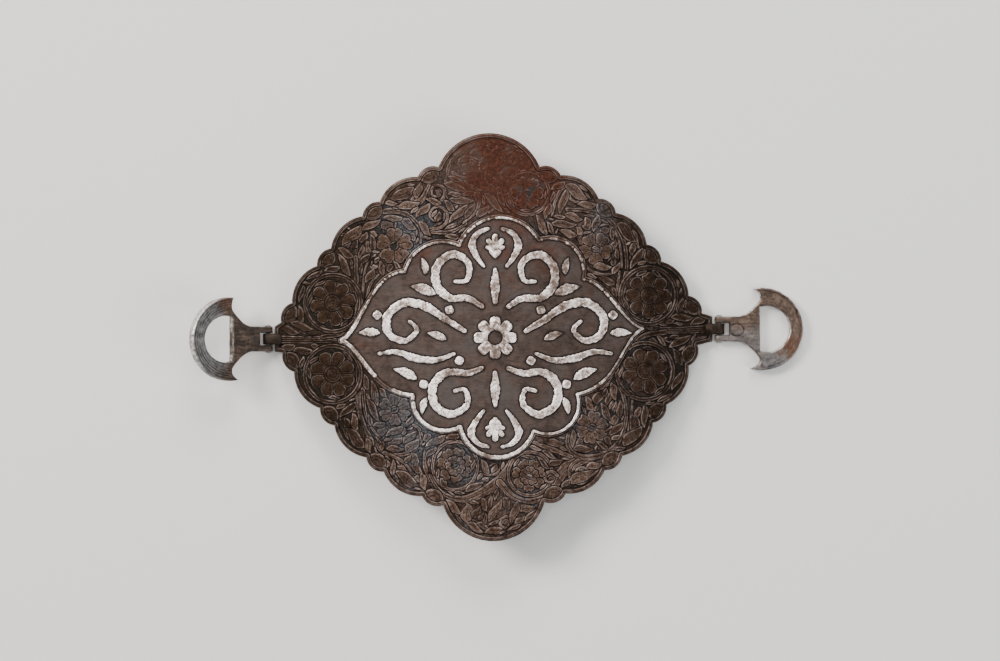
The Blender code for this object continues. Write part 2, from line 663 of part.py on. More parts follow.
def opening_outline():
    """The D opening for the strap: a circle cut off by the straight bar, with eased corners."""
    half_angle = math.acos((BAR_FACE + 0.5 - OPENING_CENTRE) / OPENING_RADIUS)
    steps = 14
    points = []
    for step in range(steps + 1):
        angle = half_angle * (2.0 * step / steps - 1.0)
        points.append(Vector((OPENING_CENTRE + OPENING_RADIUS * math.cos(angle),
                              OPENING_RADIUS * math.sin(angle))))
    corner = points[-1].y - 0.6
    return points + [Vector((BAR_FACE, corner)), Vector((BAR_FACE, -corner))]


def make_loop(side, material):
    """A strap loop about its hinge axis, running out along +X, or along -X on the left."""
    outline = loop_outline(side)
    half = LOOP_THICKNESS / 2
    loop = stacked_solid(side + "_loop", (
        (outline, -half),
        (outline, half - LOOP_CHAMFER),
        (inset(outline, LOOP_CHAMFER), half),
    ), material)
    arms = []
    for sign in (-1, 1):
        low, high = sorted((sign * (FORK_SLOT_HALF - 0.5), sign * (TONGUE_HALF_WIDTH - 0.01)))
        arm_end = prism("arm_end", round_outline(0, 0, ARM_END_RADIUS, 14), low, high)
        arm_end.data.transform(Matrix.Rotation(math.radians(90), 4, "X"))
        arms.append(arm_end)
    combine(loop, arms, "UNION")
    slot = prism("slot", [Vector(point) for point in (
        (-3.0, -FORK_SLOT_HALF), (FORK_ROOT, -FORK_SLOT_HALF),
        (FORK_ROOT, FORK_SLOT_HALF), (-3.0, FORK_SLOT_HALF))], -5.0, 5.0)
    opening = prism("opening", opening_outline(), -5.0, 5.0)
    bore = prism("bore", round_outline(0, 0, PIN_RADIUS + PIN_GAP, 12), -6.0, 6.0)
    bore.data.transform(Matrix.Rotation(math.radians(90), 4, "X"))
    combine(loop, [slot, opening, bore], "DIFFERENCE")
    facing = Matrix.Rotation(math.radians(180), 4, "Z") if side == "left" else Matrix.Identity(4)
    loop.data.transform(facing @ Matrix.Diagonal((MM, MM, MM, 1.0)))
    loop.data.materials.clear()
    loop.data.materials.append(material)
    return loop


def make_pin(side, material):
    """A hinge pin with a riveted head at each end."""
    reach = TONGUE_HALF_WIDTH + 0.1
    pin = stacked_solid(side + "_pin", (
        (round_outline(0, 0, PIN_HEAD_RADIUS * 0.7, 10), -reach - PIN_HEAD),
        (round_outline(0, 0, PIN_HEAD_RADIUS, 10), -reach - PIN_HEAD * 0.4),
        (round_outline(0, 0, PIN_HEAD_RADIUS, 10), -reach),
        (round_outline(0, 0, PIN_RADIUS, 10), -reach),
        (round_outline(0, 0, PIN_RADIUS, 10), reach),
        (round_outline(0, 0, PIN_HEAD_RADIUS, 10), reach),
        (round_outline(0, 0, PIN_HEAD_RADIUS, 10), reach + PIN_HEAD * 0.4),
        (round_outline(0, 0, PIN_HEAD_RADIUS * 0.7, 10), reach + PIN_HEAD),
    ), material)
    pin.data.transform(Matrix.Rotation(math.radians(90), 4, "X") @ Matrix.Diagonal((MM, MM, MM, 1.0)))
    return pin


def loop_reach(side):
    """How far a tilted loop reaches beyond its hinge axis."""
    tilt = math.radians(abs(LOOP_TILT[side]))
    return (BOW_CENTRE + BOW_RADIUS) * math.cos(tilt) + LOOP_THICKNESS / 2 * math.sin(tilt)


def main():
    for item in list(bpy.data.objects):
        bpy.data.objects.remove(item)
    steel = make_material(*STEEL)
    loop_steel = make_material(*LOOP_STEEL)
    silver = make_material(*SILVER)

    base = bpy.data.objects.new("arm_guard_base", None)
    bpy.context.scene.collection.objects.link(base)
    left_end = HINGE_X["left"] - loop_reach("left")
    right_end = HINGE_X["right"] + loop_reach("right")
    plate_x = -(left_end + right_end) / 2

    fixed = [make_plate(steel)] + make_overlay(silver)
    for piece in fixed:
        piece.location = (plate_x * MM, 0.0, 0.0)
        piece.parent = base
    for side, turn in (("left", 1), ("right", -1)):
        hinge = Vector((plate_x + HINGE_X[side], HINGE_Y[side], KNUCKLE_RADIUS)) * MM
        tilt = math.radians(turn * LOOP_TILT[side])
        for piece in (make_loop(side, loop_steel), make_pin(side, loop_steel)):
            piece.location = hinge
            piece.rotation_euler = (0.0, tilt, 0.0)
            piece.parent = base


main()
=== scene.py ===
import json
import math

import bpy
import numpy as np
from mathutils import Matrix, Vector, geometry, kdtree


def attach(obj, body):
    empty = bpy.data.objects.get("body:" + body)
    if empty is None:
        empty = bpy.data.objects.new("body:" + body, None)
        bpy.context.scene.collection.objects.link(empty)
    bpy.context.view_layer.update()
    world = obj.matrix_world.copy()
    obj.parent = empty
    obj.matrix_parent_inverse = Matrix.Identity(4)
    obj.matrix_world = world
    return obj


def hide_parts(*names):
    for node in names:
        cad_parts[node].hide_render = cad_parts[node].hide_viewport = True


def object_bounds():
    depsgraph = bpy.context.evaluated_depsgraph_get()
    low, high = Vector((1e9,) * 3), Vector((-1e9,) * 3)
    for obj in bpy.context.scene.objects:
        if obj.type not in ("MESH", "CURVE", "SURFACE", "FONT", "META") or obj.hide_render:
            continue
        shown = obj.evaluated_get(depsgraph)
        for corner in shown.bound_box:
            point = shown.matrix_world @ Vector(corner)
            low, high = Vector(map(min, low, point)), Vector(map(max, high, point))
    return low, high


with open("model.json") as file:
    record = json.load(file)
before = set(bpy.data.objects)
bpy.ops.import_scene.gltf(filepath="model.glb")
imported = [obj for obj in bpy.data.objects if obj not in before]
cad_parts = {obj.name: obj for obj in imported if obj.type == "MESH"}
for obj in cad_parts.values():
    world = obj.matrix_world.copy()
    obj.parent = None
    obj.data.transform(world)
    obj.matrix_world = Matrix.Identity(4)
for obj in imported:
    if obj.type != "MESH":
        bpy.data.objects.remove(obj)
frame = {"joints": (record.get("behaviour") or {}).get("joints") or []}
cad_low, cad_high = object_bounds()


# ---------------------------------------------------------------- steel plate: blank and edge
# The guard is one sheet of forged steel, arched round a line along the forearm and lobed all round.
# Its edge is filed to a chamfer. Every plan measure is in millimetres from the plate's own middle,
# flat as it was before it was bent: x along the arm, y across it, h above the back.
MM = 0.001
ARCH_RADIUS = 200.0
ARCH_CROWN = 14.05
LEFT_HINGE_X = -73.3
hinges = {joint["name"]: np.array(joint["pos_m"]) / MM for joint in frame["joints"]}
plate_x = hinges["left_hinge"][0] - LEFT_HINGE_X

# In each quarter the lobes stand along a guide curve, from the pole lobe out to the tongue. A quarter has
# seven lobes: small, medium, small, and so on, and a medium lobe is twice as long as a small one.
EDGE_GUIDES = {
    "upper_right": ((15.5, 55.0), (36.5, 48.0), (50.0, 31.5), (68.5, 8.0)),
    "upper_left": ((-17.0, 55.0), (-38.5, 46.0), (-56.5, 27.0), (-68.5, 5.0)),
    "lower_left": ((-15.5, -54.0), (-37.0, -46.0), (-56.0, -25.5), (-68.0, -5.0)),
    "lower_right": ((17.0, -53.0), (39.0, -45.5), (57.0, -27.0), (67.0, -2.5)),
}
LOBE_SHARES = (1, 2, 1, 2, 1, 2, 1)
GUIDE_STEPS = 400
SMALL_RISE, MEDIUM_RISE = 0.20, 0.165
POLE_RISE = {"upper": 10.8, "lower": 12.0}
TONGUE_HALF = 4.1
TONGUE_ENDS = {"right": (72.0, 2.8), "left": (-70.7, -0.5)}


def bend(x, y, h):
    """Plan points to metres in the row frame: x runs round an arch of ARCH_RADIUS, h square to it."""
    across = x / ARCH_RADIUS
    reach = ARCH_RADIUS + h
    z = reach * np.sqrt(1.0 - across ** 2) - ARCH_RADIUS + ARCH_CROWN
    return np.stack((reach * across + plate_x, y, z), axis=-1) * MM


def lobe(start, end, rise):
    """Centre, radius and (start angle, end angle) of the arc that stands out by rise on the right of the way
    from start to end."""
    start, end = np.array(start), np.array(end)
    chord = end - start
    length = math.hypot(*chord)
    outward = np.array((chord[1], -chord[0])) / length
    radius = (length ** 2 / 4.0 + rise ** 2) / (2.0 * rise)
    centre = (start + end) / 2.0 - outward * (radius - rise)
    middle = math.atan2(outward[1], outward[0])
    half = math.asin(min(1.0, length / (2.0 * radius)))
    return centre, radius, (middle - half, middle + half)


def arc_points(start, end, rise, spacing):
    """The same arc as points about spacing apart, without its end."""
    centre, radius, (low, high) = lobe(start, end, rise)
    turn = np.linspace(low, high, max(4, int(radius * (high - low) / spacing)), endpoint=False)
    return centre + radius * np.stack((np.cos(turn), np.sin(turn)), axis=-1)


def cubic(start, first, second, end, count):
    """Points of a cubic curve drawn through two control points, without its end."""
    t = np.linspace(0.0, 1.0, count, endpoint=False)[:, None]
    start, first, second, end = (np.array(point) for point in (start, first, second, end))
    return start * (1 - t) ** 3 + first * 3 * t * (1 - t) ** 2 + second * 3 * t ** 2 * (1 - t) + end * t ** 3


def travelled(route):
    """Distance along a route at each of its points."""
    return np.concatenate(((0.0,), np.cumsum(np.hypot(*np.diff(route, axis=0).T))))


def guide_cusps(guide):
    """The cusps between the lobes of a quarter: its guide cut into lengths by LOBE_SHARES."""
    points = np.vstack((cubic(*guide, GUIDE_STEPS), guide[-1:]))
    reach = travelled(points)
    stations = np.concatenate(((0.0,), np.cumsum(LOBE_SHARES))) / sum(LOBE_SHARES) * reach[-1]
    return [(float(np.interp(station, reach, points[:, 0])), float(np.interp(station, reach, points[:, 1])))
            for station in stations]


CUSPS = {quarter: guide_cusps(guide) for quarter, guide in EDGE_GUIDES.items()}


def smooth_route(knots, spacing):
    """A smooth curve through all the knots, as points about spacing apart."""
    knots = np.array(knots, float)
    before = np.vstack((2 * knots[:1] - knots[1:2], knots[:-1]))
    after = np.vstack((knots[1:], 2 * knots[-1:] - knots[-2:-1]))
    lean = (after - before) / 6.0
    spans = [cubic(here, here + slope, there - next_slope, there,
                   max(2, int(math.dist(here, there) / spacing)))
             for here, there, slope, next_slope in zip(knots, knots[1:], lean, lean[1:])]
    return np.vstack(spans + [knots[-1:]])


def edge_rows():
    """The edge in order, counter-clockwise from the right tongue: rows of (start, end, rise). A straight run
    has no rise."""
    rows = []

    def lobes(cusps):
        """The small and medium lobes between a quarter's cusps, in turn."""
        for index, (start, end) in enumerate(zip(cusps, cusps[1:])):
            share = MEDIUM_RISE if index % 2 else SMALL_RISE
            rows.append((start, end, share * math.dist(start, end)))

    def tongue(before, side, after):
        """A tongue's three straight sides: out, across its end and back."""
        x, y = TONGUE_ENDS[side]
        turn = 1 if side == "right" else -1
        lower, upper = (x, y - turn * TONGUE_HALF), (x, y + turn * TONGUE_HALF)
        rows.extend(((before, lower, 0.0), (lower, upper, 0.0), (upper, after, 0.0)))

    upper_right, upper_left = CUSPS["upper_right"], CUSPS["upper_left"]
    lower_left, lower_right = CUSPS["lower_left"], CUSPS["lower_right"]
    tongue(lower_right[-1], "right", upper_right[-1])
    lobes(upper_right[::-1])
    rows.append((upper_right[0], upper_left[0], POLE_RISE["upper"]))
    lobes(upper_left)
    tongue(upper_left[-1], "left", lower_left[-1])
    lobes(lower_left[::-1])
    rows.append((lower_left[0], lower_right[0], POLE_RISE["lower"]))
    lobes(lower_right)
    return rows


# The silver line round the panel: (start, shape). A number is an arc's rise over its chord, a pair is a
# curve's two inner control points.
PANEL_LINE = (
    ((48.5, 2.9), ((41.0, 5.7), (37.1, 18.3))),
    ((29.0, 18.7), 0.31),
    ((15.0, 31.1), 0.326),
    ((-10.2, 29.5), 0.24),
    ((-27.6, 21.2), ((-38.7, 21.3), (-42.0, 1.5))),
    ((-48.4, -1.0), ((-42.0, -1.8), (-38.7, -17.9))),
    ((-25.0, -18.5), 0.31),
    ((-9.8, -28.5), 0.40),
    ((13.4, -29.8), 0.34),
    ((27.3, -18.2), ((41.0, -15.4), (41.0, -1.4))),
)
CURVE_STRETCH = 1.15  # about how much longer than its chord a curve of the line is


def panel_points(spacing):
    """The silver line as a closed row of points."""
    runs = []
    for (start, shape), (end, _) in zip(PANEL_LINE, PANEL_LINE[1:] + PANEL_LINE[:1]):
        if isinstance(shape, float):
            runs.append(arc_points(start, end, shape * math.dist(start, end), spacing))
        else:
            runs.append(cubic(start, *shape, end, int(math.dist(start, end) * CURVE_STRETCH / spacing)))
    return np.vstack(runs)


def edge_points(spacing):
    """The outer edge as a closed row of points."""
    runs = []
    for start, end, rise in edge_rows():
        if rise:
            runs.append(arc_points(start, end, rise, spacing))
        else:
            count = max(2, int(math.dist(start, end) / spacing))
            runs.append(np.array(start) + np.linspace(0, 1, count, endpoint=False)[:, None]
                        * (np.array(end) - np.array(start)))
    return np.vstack(runs)


# ---------------------------------------------------------------- steel plate: grid
# The outer face is worked out on rays from the middle: each ray runs from the silver line to the edge.
# Rows are even along a ray, and rays are closer where the edge is long.
MIDDLE = np.array((1.2, 1.0))
LINE_STEP = 0.05
RAYS = 2040
ROWS = 148


def polar(points):
    """Angles (rising, from -pi) and distances of a closed row of points about MIDDLE."""
    offset = points - MIDDLE
    turn = np.arctan2(offset[:, 1], offset[:, 0])
    first = int(np.argmin(turn))
    turn, reach = np.roll(turn, -first), np.roll(np.hypot(offset[:, 0], offset[:, 1]), -first)
    return np.maximum.accumulate(turn), reach


def reach_at(turn, points):
    """Distance from MIDDLE to a closed row of points, along each of the given angles."""
    angles, reach = polar(points)
    angles = np.concatenate((angles - 2 * np.pi, angles, angles + 2 * np.pi))
    return np.interp(turn, angles, np.tile(reach, 3))


def on_rays(turn, reach):
    """Plan x and y of rows of distances from MIDDLE, one row for each angle."""
    return MIDDLE[0] + reach * np.cos(turn)[:, None], MIDDLE[1] + reach * np.sin(turn)[:, None]


def ray_angles(count):
    """Angles of the rays: spaced by the length of the edge and of the silver line between them, and one on
    each cusp."""
    fine = np.linspace(-np.pi, np.pi, 40001)
    travel = np.zeros(fine.size - 1)
    for points in (edge_line, silver_line):
        reach = reach_at(fine, points)
        place = np.stack((reach * np.cos(fine), reach * np.sin(fine)), axis=-1)
        travel += np.hypot(*np.diff(place, axis=0).T)
    along = np.concatenate(((0.0,), np.cumsum(travel)))
    turn = np.interp(np.linspace(0.0, along[-1], count, endpoint=False), along, fine)
    for row in CUSPS.values():
        for cusp in row:
            angle = math.atan2(cusp[1] - MIDDLE[1], cusp[0] - MIDDLE[0])
            turn[np.argmin(np.abs(turn - angle))] = angle
    return turn


edge_line = edge_points(LINE_STEP)
silver_line = panel_points(LINE_STEP)
ray_turn = ray_angles(RAYS)
edge_reach = reach_at(ray_turn, edge_line)
silver_reach = reach_at(ray_turn, silver_line)
share = np.linspace(0.0, 1.0, ROWS)
ray_reach = silver_reach[:, None] + (edge_reach - silver_reach)[:, None] * share
plan_x, plan_y = on_rays(ray_turn, ray_reach)


# ---------------------------------------------------------------- steel plate: chiselled relief
# The ground is cut back by about a third of a millimetre round flowers, leaves and scrolling stems. Each form
# has a cut line round it and a soft shoulder, and the later ones lie over the earlier ones.
GROUND = 1.30
RELIEF_TOP = 1.62
LEAF_TOP = RELIEF_TOP - 0.03
CUT_DEPTH = 0.15
SHOULDER = 0.14
BORDER, LEAF_BORDER, SUNK_BORDER = 0.20, 0.18, 0.16
BORDER_DEPTH, BORDER_FADE = 0.06, 0.12

height = np.full(plan_x.shape, GROUND)
raised = np.zeros(plan_x.shape)
cut = np.zeros(plan_x.shape)
# light: a painted highlight, partly wear, along the borders of forms and on the chamfer
light = np.zeros(plan_x.shape)
pale = np.full(plan_x.shape, 0.5)


def smooth(value):
    """0 below 0 and 1 above 1, with an eased rise between."""
    value = np.clip(value, 0.0, 1.0)
    return value * value * (3.0 - 2.0 * value)


def line_mark(distance, width):
    """1 on a line and fading to 0 at about its width to either side."""
    return np.exp(-(distance / (0.5 * width)) ** 2)


def around(x, y, reach):
    """The grid points inside a square round (x, y)."""
    return np.nonzero((np.abs(plan_x - x) < reach) & (np.abs(plan_y - y) < reach))


def lay(area, distance, top, cuts=0.0, swell=0.0, tone=1.0, paleness=0.5, border=BORDER):
    """Lays one form on the ground. distance is negative inside it, cuts are lines engraved in its face (0 to
    1), and swell lifts it. Its profile is the top less a shoulder, inside a border cut below the ground. A
    light line just inside its border is a painted highlight and wear together; paleness (0 to 1) is how much
    of its brown skin it has lost."""
    inside = smooth(-distance / SHOULDER)
    cover = smooth((border - distance) / BORDER_FADE)
    outline = line_mark(distance - 0.35 * border, 0.14 + 0.9 * border)
    floor = GROUND - BORDER_DEPTH
    own = floor + (top + swell - floor) * inside - CUT_DEPTH * cuts * inside
    changes = ((height, own), (cut, np.maximum(outline, cuts * inside)), (raised, inside * tone),
               (light, line_mark(distance + 0.27, 0.22)), (pale, paleness))
    for layer, value in changes:
        layer[area] += (value - layer[area]) * cover


def back_to_start(route):
    """A closed route with its first point again at its end."""
    return np.vstack((route, route[:1]))


def along_route(px, py, route, reach):
    """Distance from points to a route and the share of its length at the nearest place, both up to reach."""
    distance = np.full(px.shape, float(reach))
    place = np.zeros(px.shape)
    steps = np.hypot(*np.diff(route, axis=0).T)
    shares = travelled(route) / steps.sum()
    for start, end, length, low, high in zip(route, route[1:], steps, shares, shares[1:]):
        limit = reach + length
        near = np.nonzero((np.abs(px - start[0]) < limit) & (np.abs(py - start[1]) < limit))[0]
        way = (end - start) / length
        run = np.clip((px[near] - start[0]) * way[0] + (py[near] - start[1]) * way[1], 0.0, length)
        gap = np.hypot(px[near] - start[0] - run * way[0], py[near] - start[1] - run * way[1])
        closer = gap < distance[near]
        hit = near[closer]
        distance[hit] = gap[closer]
        place[hit] = low + (high - low) * run[closer] / length
    return distance, place


def half_widths(place, widths):
    """Half the width at each share of the way, from widths given at even shares of it."""
    return np.interp(place, np.linspace(0, 1, len(widths)), widths) / 2


def leaf_half(share, width, blunt):
    """Half the width of a leaf at a share of its length, widest towards its base. The lower blunt is, the
    rounder its ends."""
    return 0.5 * width * np.sin(math.pi * share ** 0.8) ** blunt


def lay_stem(widths, knots, lines=0):
    """A stem along its route, its widths given at even shares of the way, with engraved lines along it."""
    route = smooth_route(knots, 0.5)
    high, low = route.max(0), route.min(0)
    area = around(*(high + low) / 2, (high - low).max() / 2 + 3.0)
    gap, place = along_route(plan_x[area], plan_y[area], route, 3.0)
    half = half_widths(place, widths)
    cuts = np.zeros(gap.shape)
    for line in range(lines):
        offset = half * (line / lines)
        cuts = np.maximum(cuts, line_mark(gap - offset, 0.24) * smooth((half - offset - 0.25) / 0.2))
    lay(area, gap - half, RELIEF_TOP, cuts)


RIBBED_LENGTH, VEINED_WIDTH, VEIN_SPACING = 3.4, 2.9, 0.85


def lay_leaf(x, y, length, width, turn, sunk=False):
    """A leaf with a curved midrib and, on a large leaf, veins that leave it at a slant. A sunk one is a bare
    pocket of the ground with the leaf's outline."""
    area = around(x, y, length)
    turn = math.radians(turn)
    dx, dy = plan_x[area] - x, plan_y[area] - y
    u = (dx * math.cos(turn) + dy * math.sin(turn)) / length + 0.5
    v = -dx * math.sin(turn) + dy * math.cos(turn)
    v = v - 0.10 * width * np.sin(np.clip(u, 0, 1) * math.pi * 2)
    across = np.abs(v)
    half = leaf_half(np.clip(u, 0.0, 1.0), width, 0.8)
    beyond = np.maximum(np.maximum(-u, u - 1.0), 0.0) * length
    depth = np.minimum(np.maximum(half - across, 0.0), 1.0)
    distance = np.hypot(np.maximum(across - half, 0.0), beyond) - 0.8 * depth
    rib = line_mark(v, 0.20) * smooth((0.72 - u) / 0.15) * smooth((u - 0.05) / 0.1)
    rib = rib * (length > RIBBED_LENGTH)
    slant = (u * length + 0.8 * across) / VEIN_SPACING
    vein = line_mark((slant - np.round(slant)) * VEIN_SPACING, 0.20) * smooth((half - across - 0.25) / 0.2)
    vein = vein * (width > VEINED_WIDTH)
    bare = 0.55 + 0.45 * math.sin(7.3 * x + 4.1 * y)
    if sunk:
        lay(area, distance, GROUND + 0.05, tone=0.0, paleness=bare, border=SUNK_BORDER)
        light[area] *= smooth(distance / 0.1 + 1.0)
    else:
        swell = 0.10 * np.clip(1.0 - across / (0.5 * width), 0.0, 1.0)
        lay(area, distance, LEAF_TOP, np.maximum(rib, 0.45 * vein), swell, paleness=bare, border=LEAF_BORDER)


def petal_polar(x, y, petals, turn, area):
    """Distance from (x, y), place across the nearest petal (-1 to 1), and distance to that petal's side."""
    dx, dy = plan_x[area] - x, plan_y[area] - y
    radius = np.hypot(dx, dy)
    sector = 2 * math.pi / petals
    angle = (np.arctan2(dy, dx) - math.radians(turn) + sector / 2) % sector - sector / 2
    across = angle / (sector / 2)
    return radius, across, (1.0 - np.abs(across)) * radius * math.sin(sector / 2)


# Places across half a petal, and how far the petal reaches there.
HEART_PETAL = ((0.0, 0.1, 0.34, 0.62, 0.82, 0.94, 1.0), (0.88, 0.94, 1.0, 0.97, 0.87, 0.72, 0.58))
BROAD_PETAL = ((0.0, 0.3, 0.6, 0.85, 1.0), (1.0, 0.99, 0.95, 0.86, 0.70))


def lay_flower(x, y, reach, petals, turn, eye=0.24):
    """A flower of heart-shaped petals with a dark eye: the reach dips at a petal's middle and falls away at
    its sides."""
    area = around(x, y, reach + 1.5)
    radius, across, side = petal_polar(x, y, petals, turn, area)
    limit = reach * np.interp(np.abs(across), *HEART_PETAL)
    crease = line_mark(across * radius * math.sin(math.pi / petals), 0.24)
    crease *= smooth((radius - 1.1 * eye * reach) / 0.3) * smooth((0.68 * reach - radius) / 0.5)
    veins = line_mark(side, 0.26) * smooth((radius - 1.2) / 0.3)
    eye = eye * reach
    ring = line_mark(radius - eye - 0.05, 0.38)
    cuts = np.maximum.reduce((crease, veins, ring))
    dome = 0.10 * np.sqrt(np.clip(1.0 - (radius / eye) ** 2, 0.0, 1.0))
    swell = dome + 0.09 * smooth(side / (0.25 * reach)) * smooth((radius - eye) / 0.6)
    tone = 1.0 - 0.75 * smooth((eye - radius) / 0.3)
    lay(area, (radius - limit) * 0.85, RELIEF_TOP + 0.05, cuts, swell, tone)


ROSE_REACH, ROSE_PETALS, ROSE_EYE, ROSE_RING = 7.7, 8, 2.8, 9.2
RAY_END, COIL_PITCH = 5.2, 0.95


def lay_rose(x, y, turn):
    """A great rosette: a coiled eye, broad petals with a doubled outline, and a band round it."""
    area = around(x, y, ROSE_RING + 2.0)
    radius, across, side = petal_polar(x, y, ROSE_PETALS, turn, area)
    dx, dy = plan_x[area] - x, plan_y[area] - y
    limit = ROSE_REACH * np.interp(np.abs(across), *BROAD_PETAL)
    sides = np.maximum(line_mark(side, 0.24), 0.6 * line_mark(side - 0.62, 0.18))
    inner = 0.6 * line_mark(radius - limit + 0.62, 0.18) * smooth((side - 0.5) / 0.1)
    outward = smooth((radius - ROSE_EYE - 0.1) / 0.15)
    coil = (radius / COIL_PITCH - np.arctan2(dy, dx) / (2 * math.pi)) % 1.0
    eye = 0.8 * line_mark((coil - 0.5) * COIL_PITCH, 0.22) * (1.0 - outward)
    rays = line_mark(across * radius * math.sin(math.pi / ROSE_PETALS), 0.18)
    rays = rays * smooth((RAY_END - radius) / 0.8)
    cuts = np.maximum.reduce((sides * outward, inner * outward, eye, line_mark(radius - ROSE_EYE, 0.34),
                              0.5 * rays * outward))
    band = radius - ROSE_RING
    lay(area, np.abs(band) - 0.75, RELIEF_TOP, line_mark(band, 0.20) * 0.7, tone=0.85)
    swell = 0.10 * smooth(side / 1.6) * outward + 0.08 * (1.0 - outward)
    lay(area, (radius - limit) * 0.9, RELIEF_TOP + 0.04, cuts, swell, tone=0.9)


def coil_knots(x, y, radius, start, turns, end_radius):
    """Knots of a scroll that coils inwards from radius to end_radius."""
    steps = np.linspace(0.0, 1.0, max(8, int(abs(turns) * 12)))
    angle = math.radians(start) + 2 * math.pi * turns * steps
    reach = radius + (end_radius - radius) * steps ** 0.8
    return np.stack((x + reach * np.cos(angle), y + reach * np.sin(angle)), axis=-1)


def outward_of(start, end):
    """Middle of a lobe's chord, the way out from the plate's middle, and the chord's heading in degrees."""
    centre = (start + end) / 2
    chord = end - start
    return centre, centre / math.hypot(*centre), math.degrees(math.atan2(chord[1], chord[0]))


# Stems: widths at even shares of the way, engraved lines, route.
STEMS = (
    ((1.3, 1.5, 0.9), 1, ((-48.9, 33.4), (-45.6, 33.0), (-43.4, 30.6), (-43.6, 26.0))),
    ((0.8, 1.0, 1.4), 0, ((-47.4, 36.4), (-45.0, 34.4), (-43.2, 30.4))),
    ((0.8, 1.0, 1.2), 0, ((-42.2, 36.2), (-43.0, 33.2), (-43.4, 29.4))),
    ((1.2, 2.2, 1.5, 0.9), 1, ((-39.9, 38.2), (-37.3, 40.0), (-32.4, 40.9), (-28.4, 40.3), (-25.4, 38.5),
                               (-23.2, 35.9), (-22.4, 33.0), (-22.7, 30.4))),
    ((1.0, 3.2, 1.8, 0.9), 1, ((-31.2, 41.9), (-26.6, 42.4), (-22.6, 44.2), (-20.8, 47.2), (-19.2, 50.6))),
    ((1.4, 1.6, 0.9), 1, ((-19.2, 34.0), (-13.0, 34.0), (-8.0, 36.6))),
    ((1.0, 1.0, 0.8), 0, ((-41.4, 12.0), (-40.9, 20.0), (-39.6, 24.4), (-37.2, 26.8))),
    ((1.0, 1.2, 0.8), 0, ((-40.2, 12.6), (-38.6, 17.6), (-35.8, 20.6))),
    ((2.8, 2.0, 1.6), 2, ((-70.6, -0.6), (-60.0, -0.8), (-53.0, -0.8), (-46.6, -2.6), (-42.8, -6.8),
                          (-42.6, -12.8), (-42.8, -20.3), (-41.6, -26.9), (-39.0, -32.2), (-35.0, -36.6))),
    ((1.6, 2.0, 1.5), 1, ((-54.5, 0.2), (-48.4, 1.4), (-43.8, 5.6), (-42.8, 12.2), (-43.4, 19.0),
                          (-43.6, 26.0))),
    ((1.4, 1.2, 0.9), 1, ((-41.3, -16.7), (-40.4, -24.6), (-38.3, -29.3), (-35.9, -32.3))),
    ((1.2, 1.4, 1.4, 1.0), 1, ((-35.0, -36.8), (-31.6, -37.8), (-27.8, -37.6), (-24.2, -35.9), (-22.4, -32.7),
                               (-23.1, -29.5), (-25.0, -28.2))),
    ((1.4, 1.2, 0.9), 0, ((-34.4, -37.2), (-30.2, -38.9), (-27.3, -41.1), (-25.6, -43.3))),
    ((0.9, 1.6, 0.9), 0, ((-21.4, -36.4), (-21.2, -41.6), (-19.4, -46.8))),
    ((1.2, 1.6, 3.0, 3.6, 1.0), 1, ((-19.6, -44.4), (-16.6, -49.2), (-12.8, -51.4), (-8.0, -51.9),
                                    (-3.2, -50.0), (2.0, -46.4), (4.6, -42.6), (6.1, -39.6))),
    ((2.6, 1.8, 2.6, 4.2, 1.4), 1, ((2.6, -46.6), (6.6, -50.9), (11.5, -52.6), (15.6, -51.8), (18.6, -49.4),
                                    (20.8, -46.4), (23.4, -42.6), (28.4, -39.8), (34.0, -38.8))),
    ((0.9, 1.1, 0.7), 0, ((-3.6, -43.0), (-0.9, -44.2), (1.8, -43.6), (2.4, -41.6), (0.8, -40.6),
                          (-0.6, -41.4))),
    ((1.6, 1.4, 1.5, 2.2, 1.2), 1, ((39.6, -11.6), (41.8, -17.1), (43.1, -22.1), (43.1, -27.2), (41.6, -32.4),
                                    (38.4, -36.2), (34.0, -38.3), (29.4, -38.6), (25.8, -36.9), (24.3, -34.0),
                                    (24.6, -31.0))),
    ((0.9, 1.2, 0.8), 0, ((45.4, -20.4), (44.8, -26.0), (43.6, -32.0))),
    ((1.2, 1.8, 1.4), 0, ((13.0, -33.4), (19.4, -36.0), (25.6, -38.4))),
    ((1.4, 1.7, 1.4, 1.2), 1, ((24.3, 41.3), (29.8, 41.0), (35.4, 39.6), (39.6, 36.2), (42.4, 31.4),
                               (43.4, 26.0), (43.4, 21.0))),
    ((0.8, 1.0, 0.8), 0, ((34.6, 36.0), (37.0, 36.6), (39.0, 35.2), (40.8, 31.8), (41.6, 27.6),
                          (42.0, 22.6))),
    ((0.9, 1.3, 0.9), 0, ((29.6, 24.6), (31.6, 21.8), (35.2, 20.4), (38.6, 20.6))),
    ((2.8, 2.0, 1.6), 2, ((71.6, 2.9), (60.0, 2.4), (53.0, 2.8), (46.8, 5.8), (43.0, 11.0), (42.6, 16.6),
                          (43.4, 21.0))),
    ((1.0, 1.6, 1.2, 0.8), 0, ((-14.6, 50.4), (-12.8, 56.6), (-6.4, 61.6), (2.2, 62.8), (9.6, 59.8))),
    ((0.9, 1.3, 0.9), 0, ((-9.0, 36.8), (-4.6, 41.0), (-4.2, 46.6), (-8.4, 50.4))),
    ((0.9, 1.3, 0.9), 0, ((19.4, 39.0), (20.6, 44.4), (23.6, 48.6), (29.4, 46.4))),
    ((1.0, 1.2, 0.9), 0, ((41.2, 12.6), (40.6, 16.8), (41.2, 21.6))),
    ((2.0, 1.6, 1.4), 1, ((56.0, 1.8), (48.9, 0.4), (43.2, -4.4), (40.4, -9.0), (39.6, -11.6))),
    ((0.8, 1.2, 0.8), 0, ((38.6, -12.6), (36.6, -15.6), (33.4, -17.2))),
)
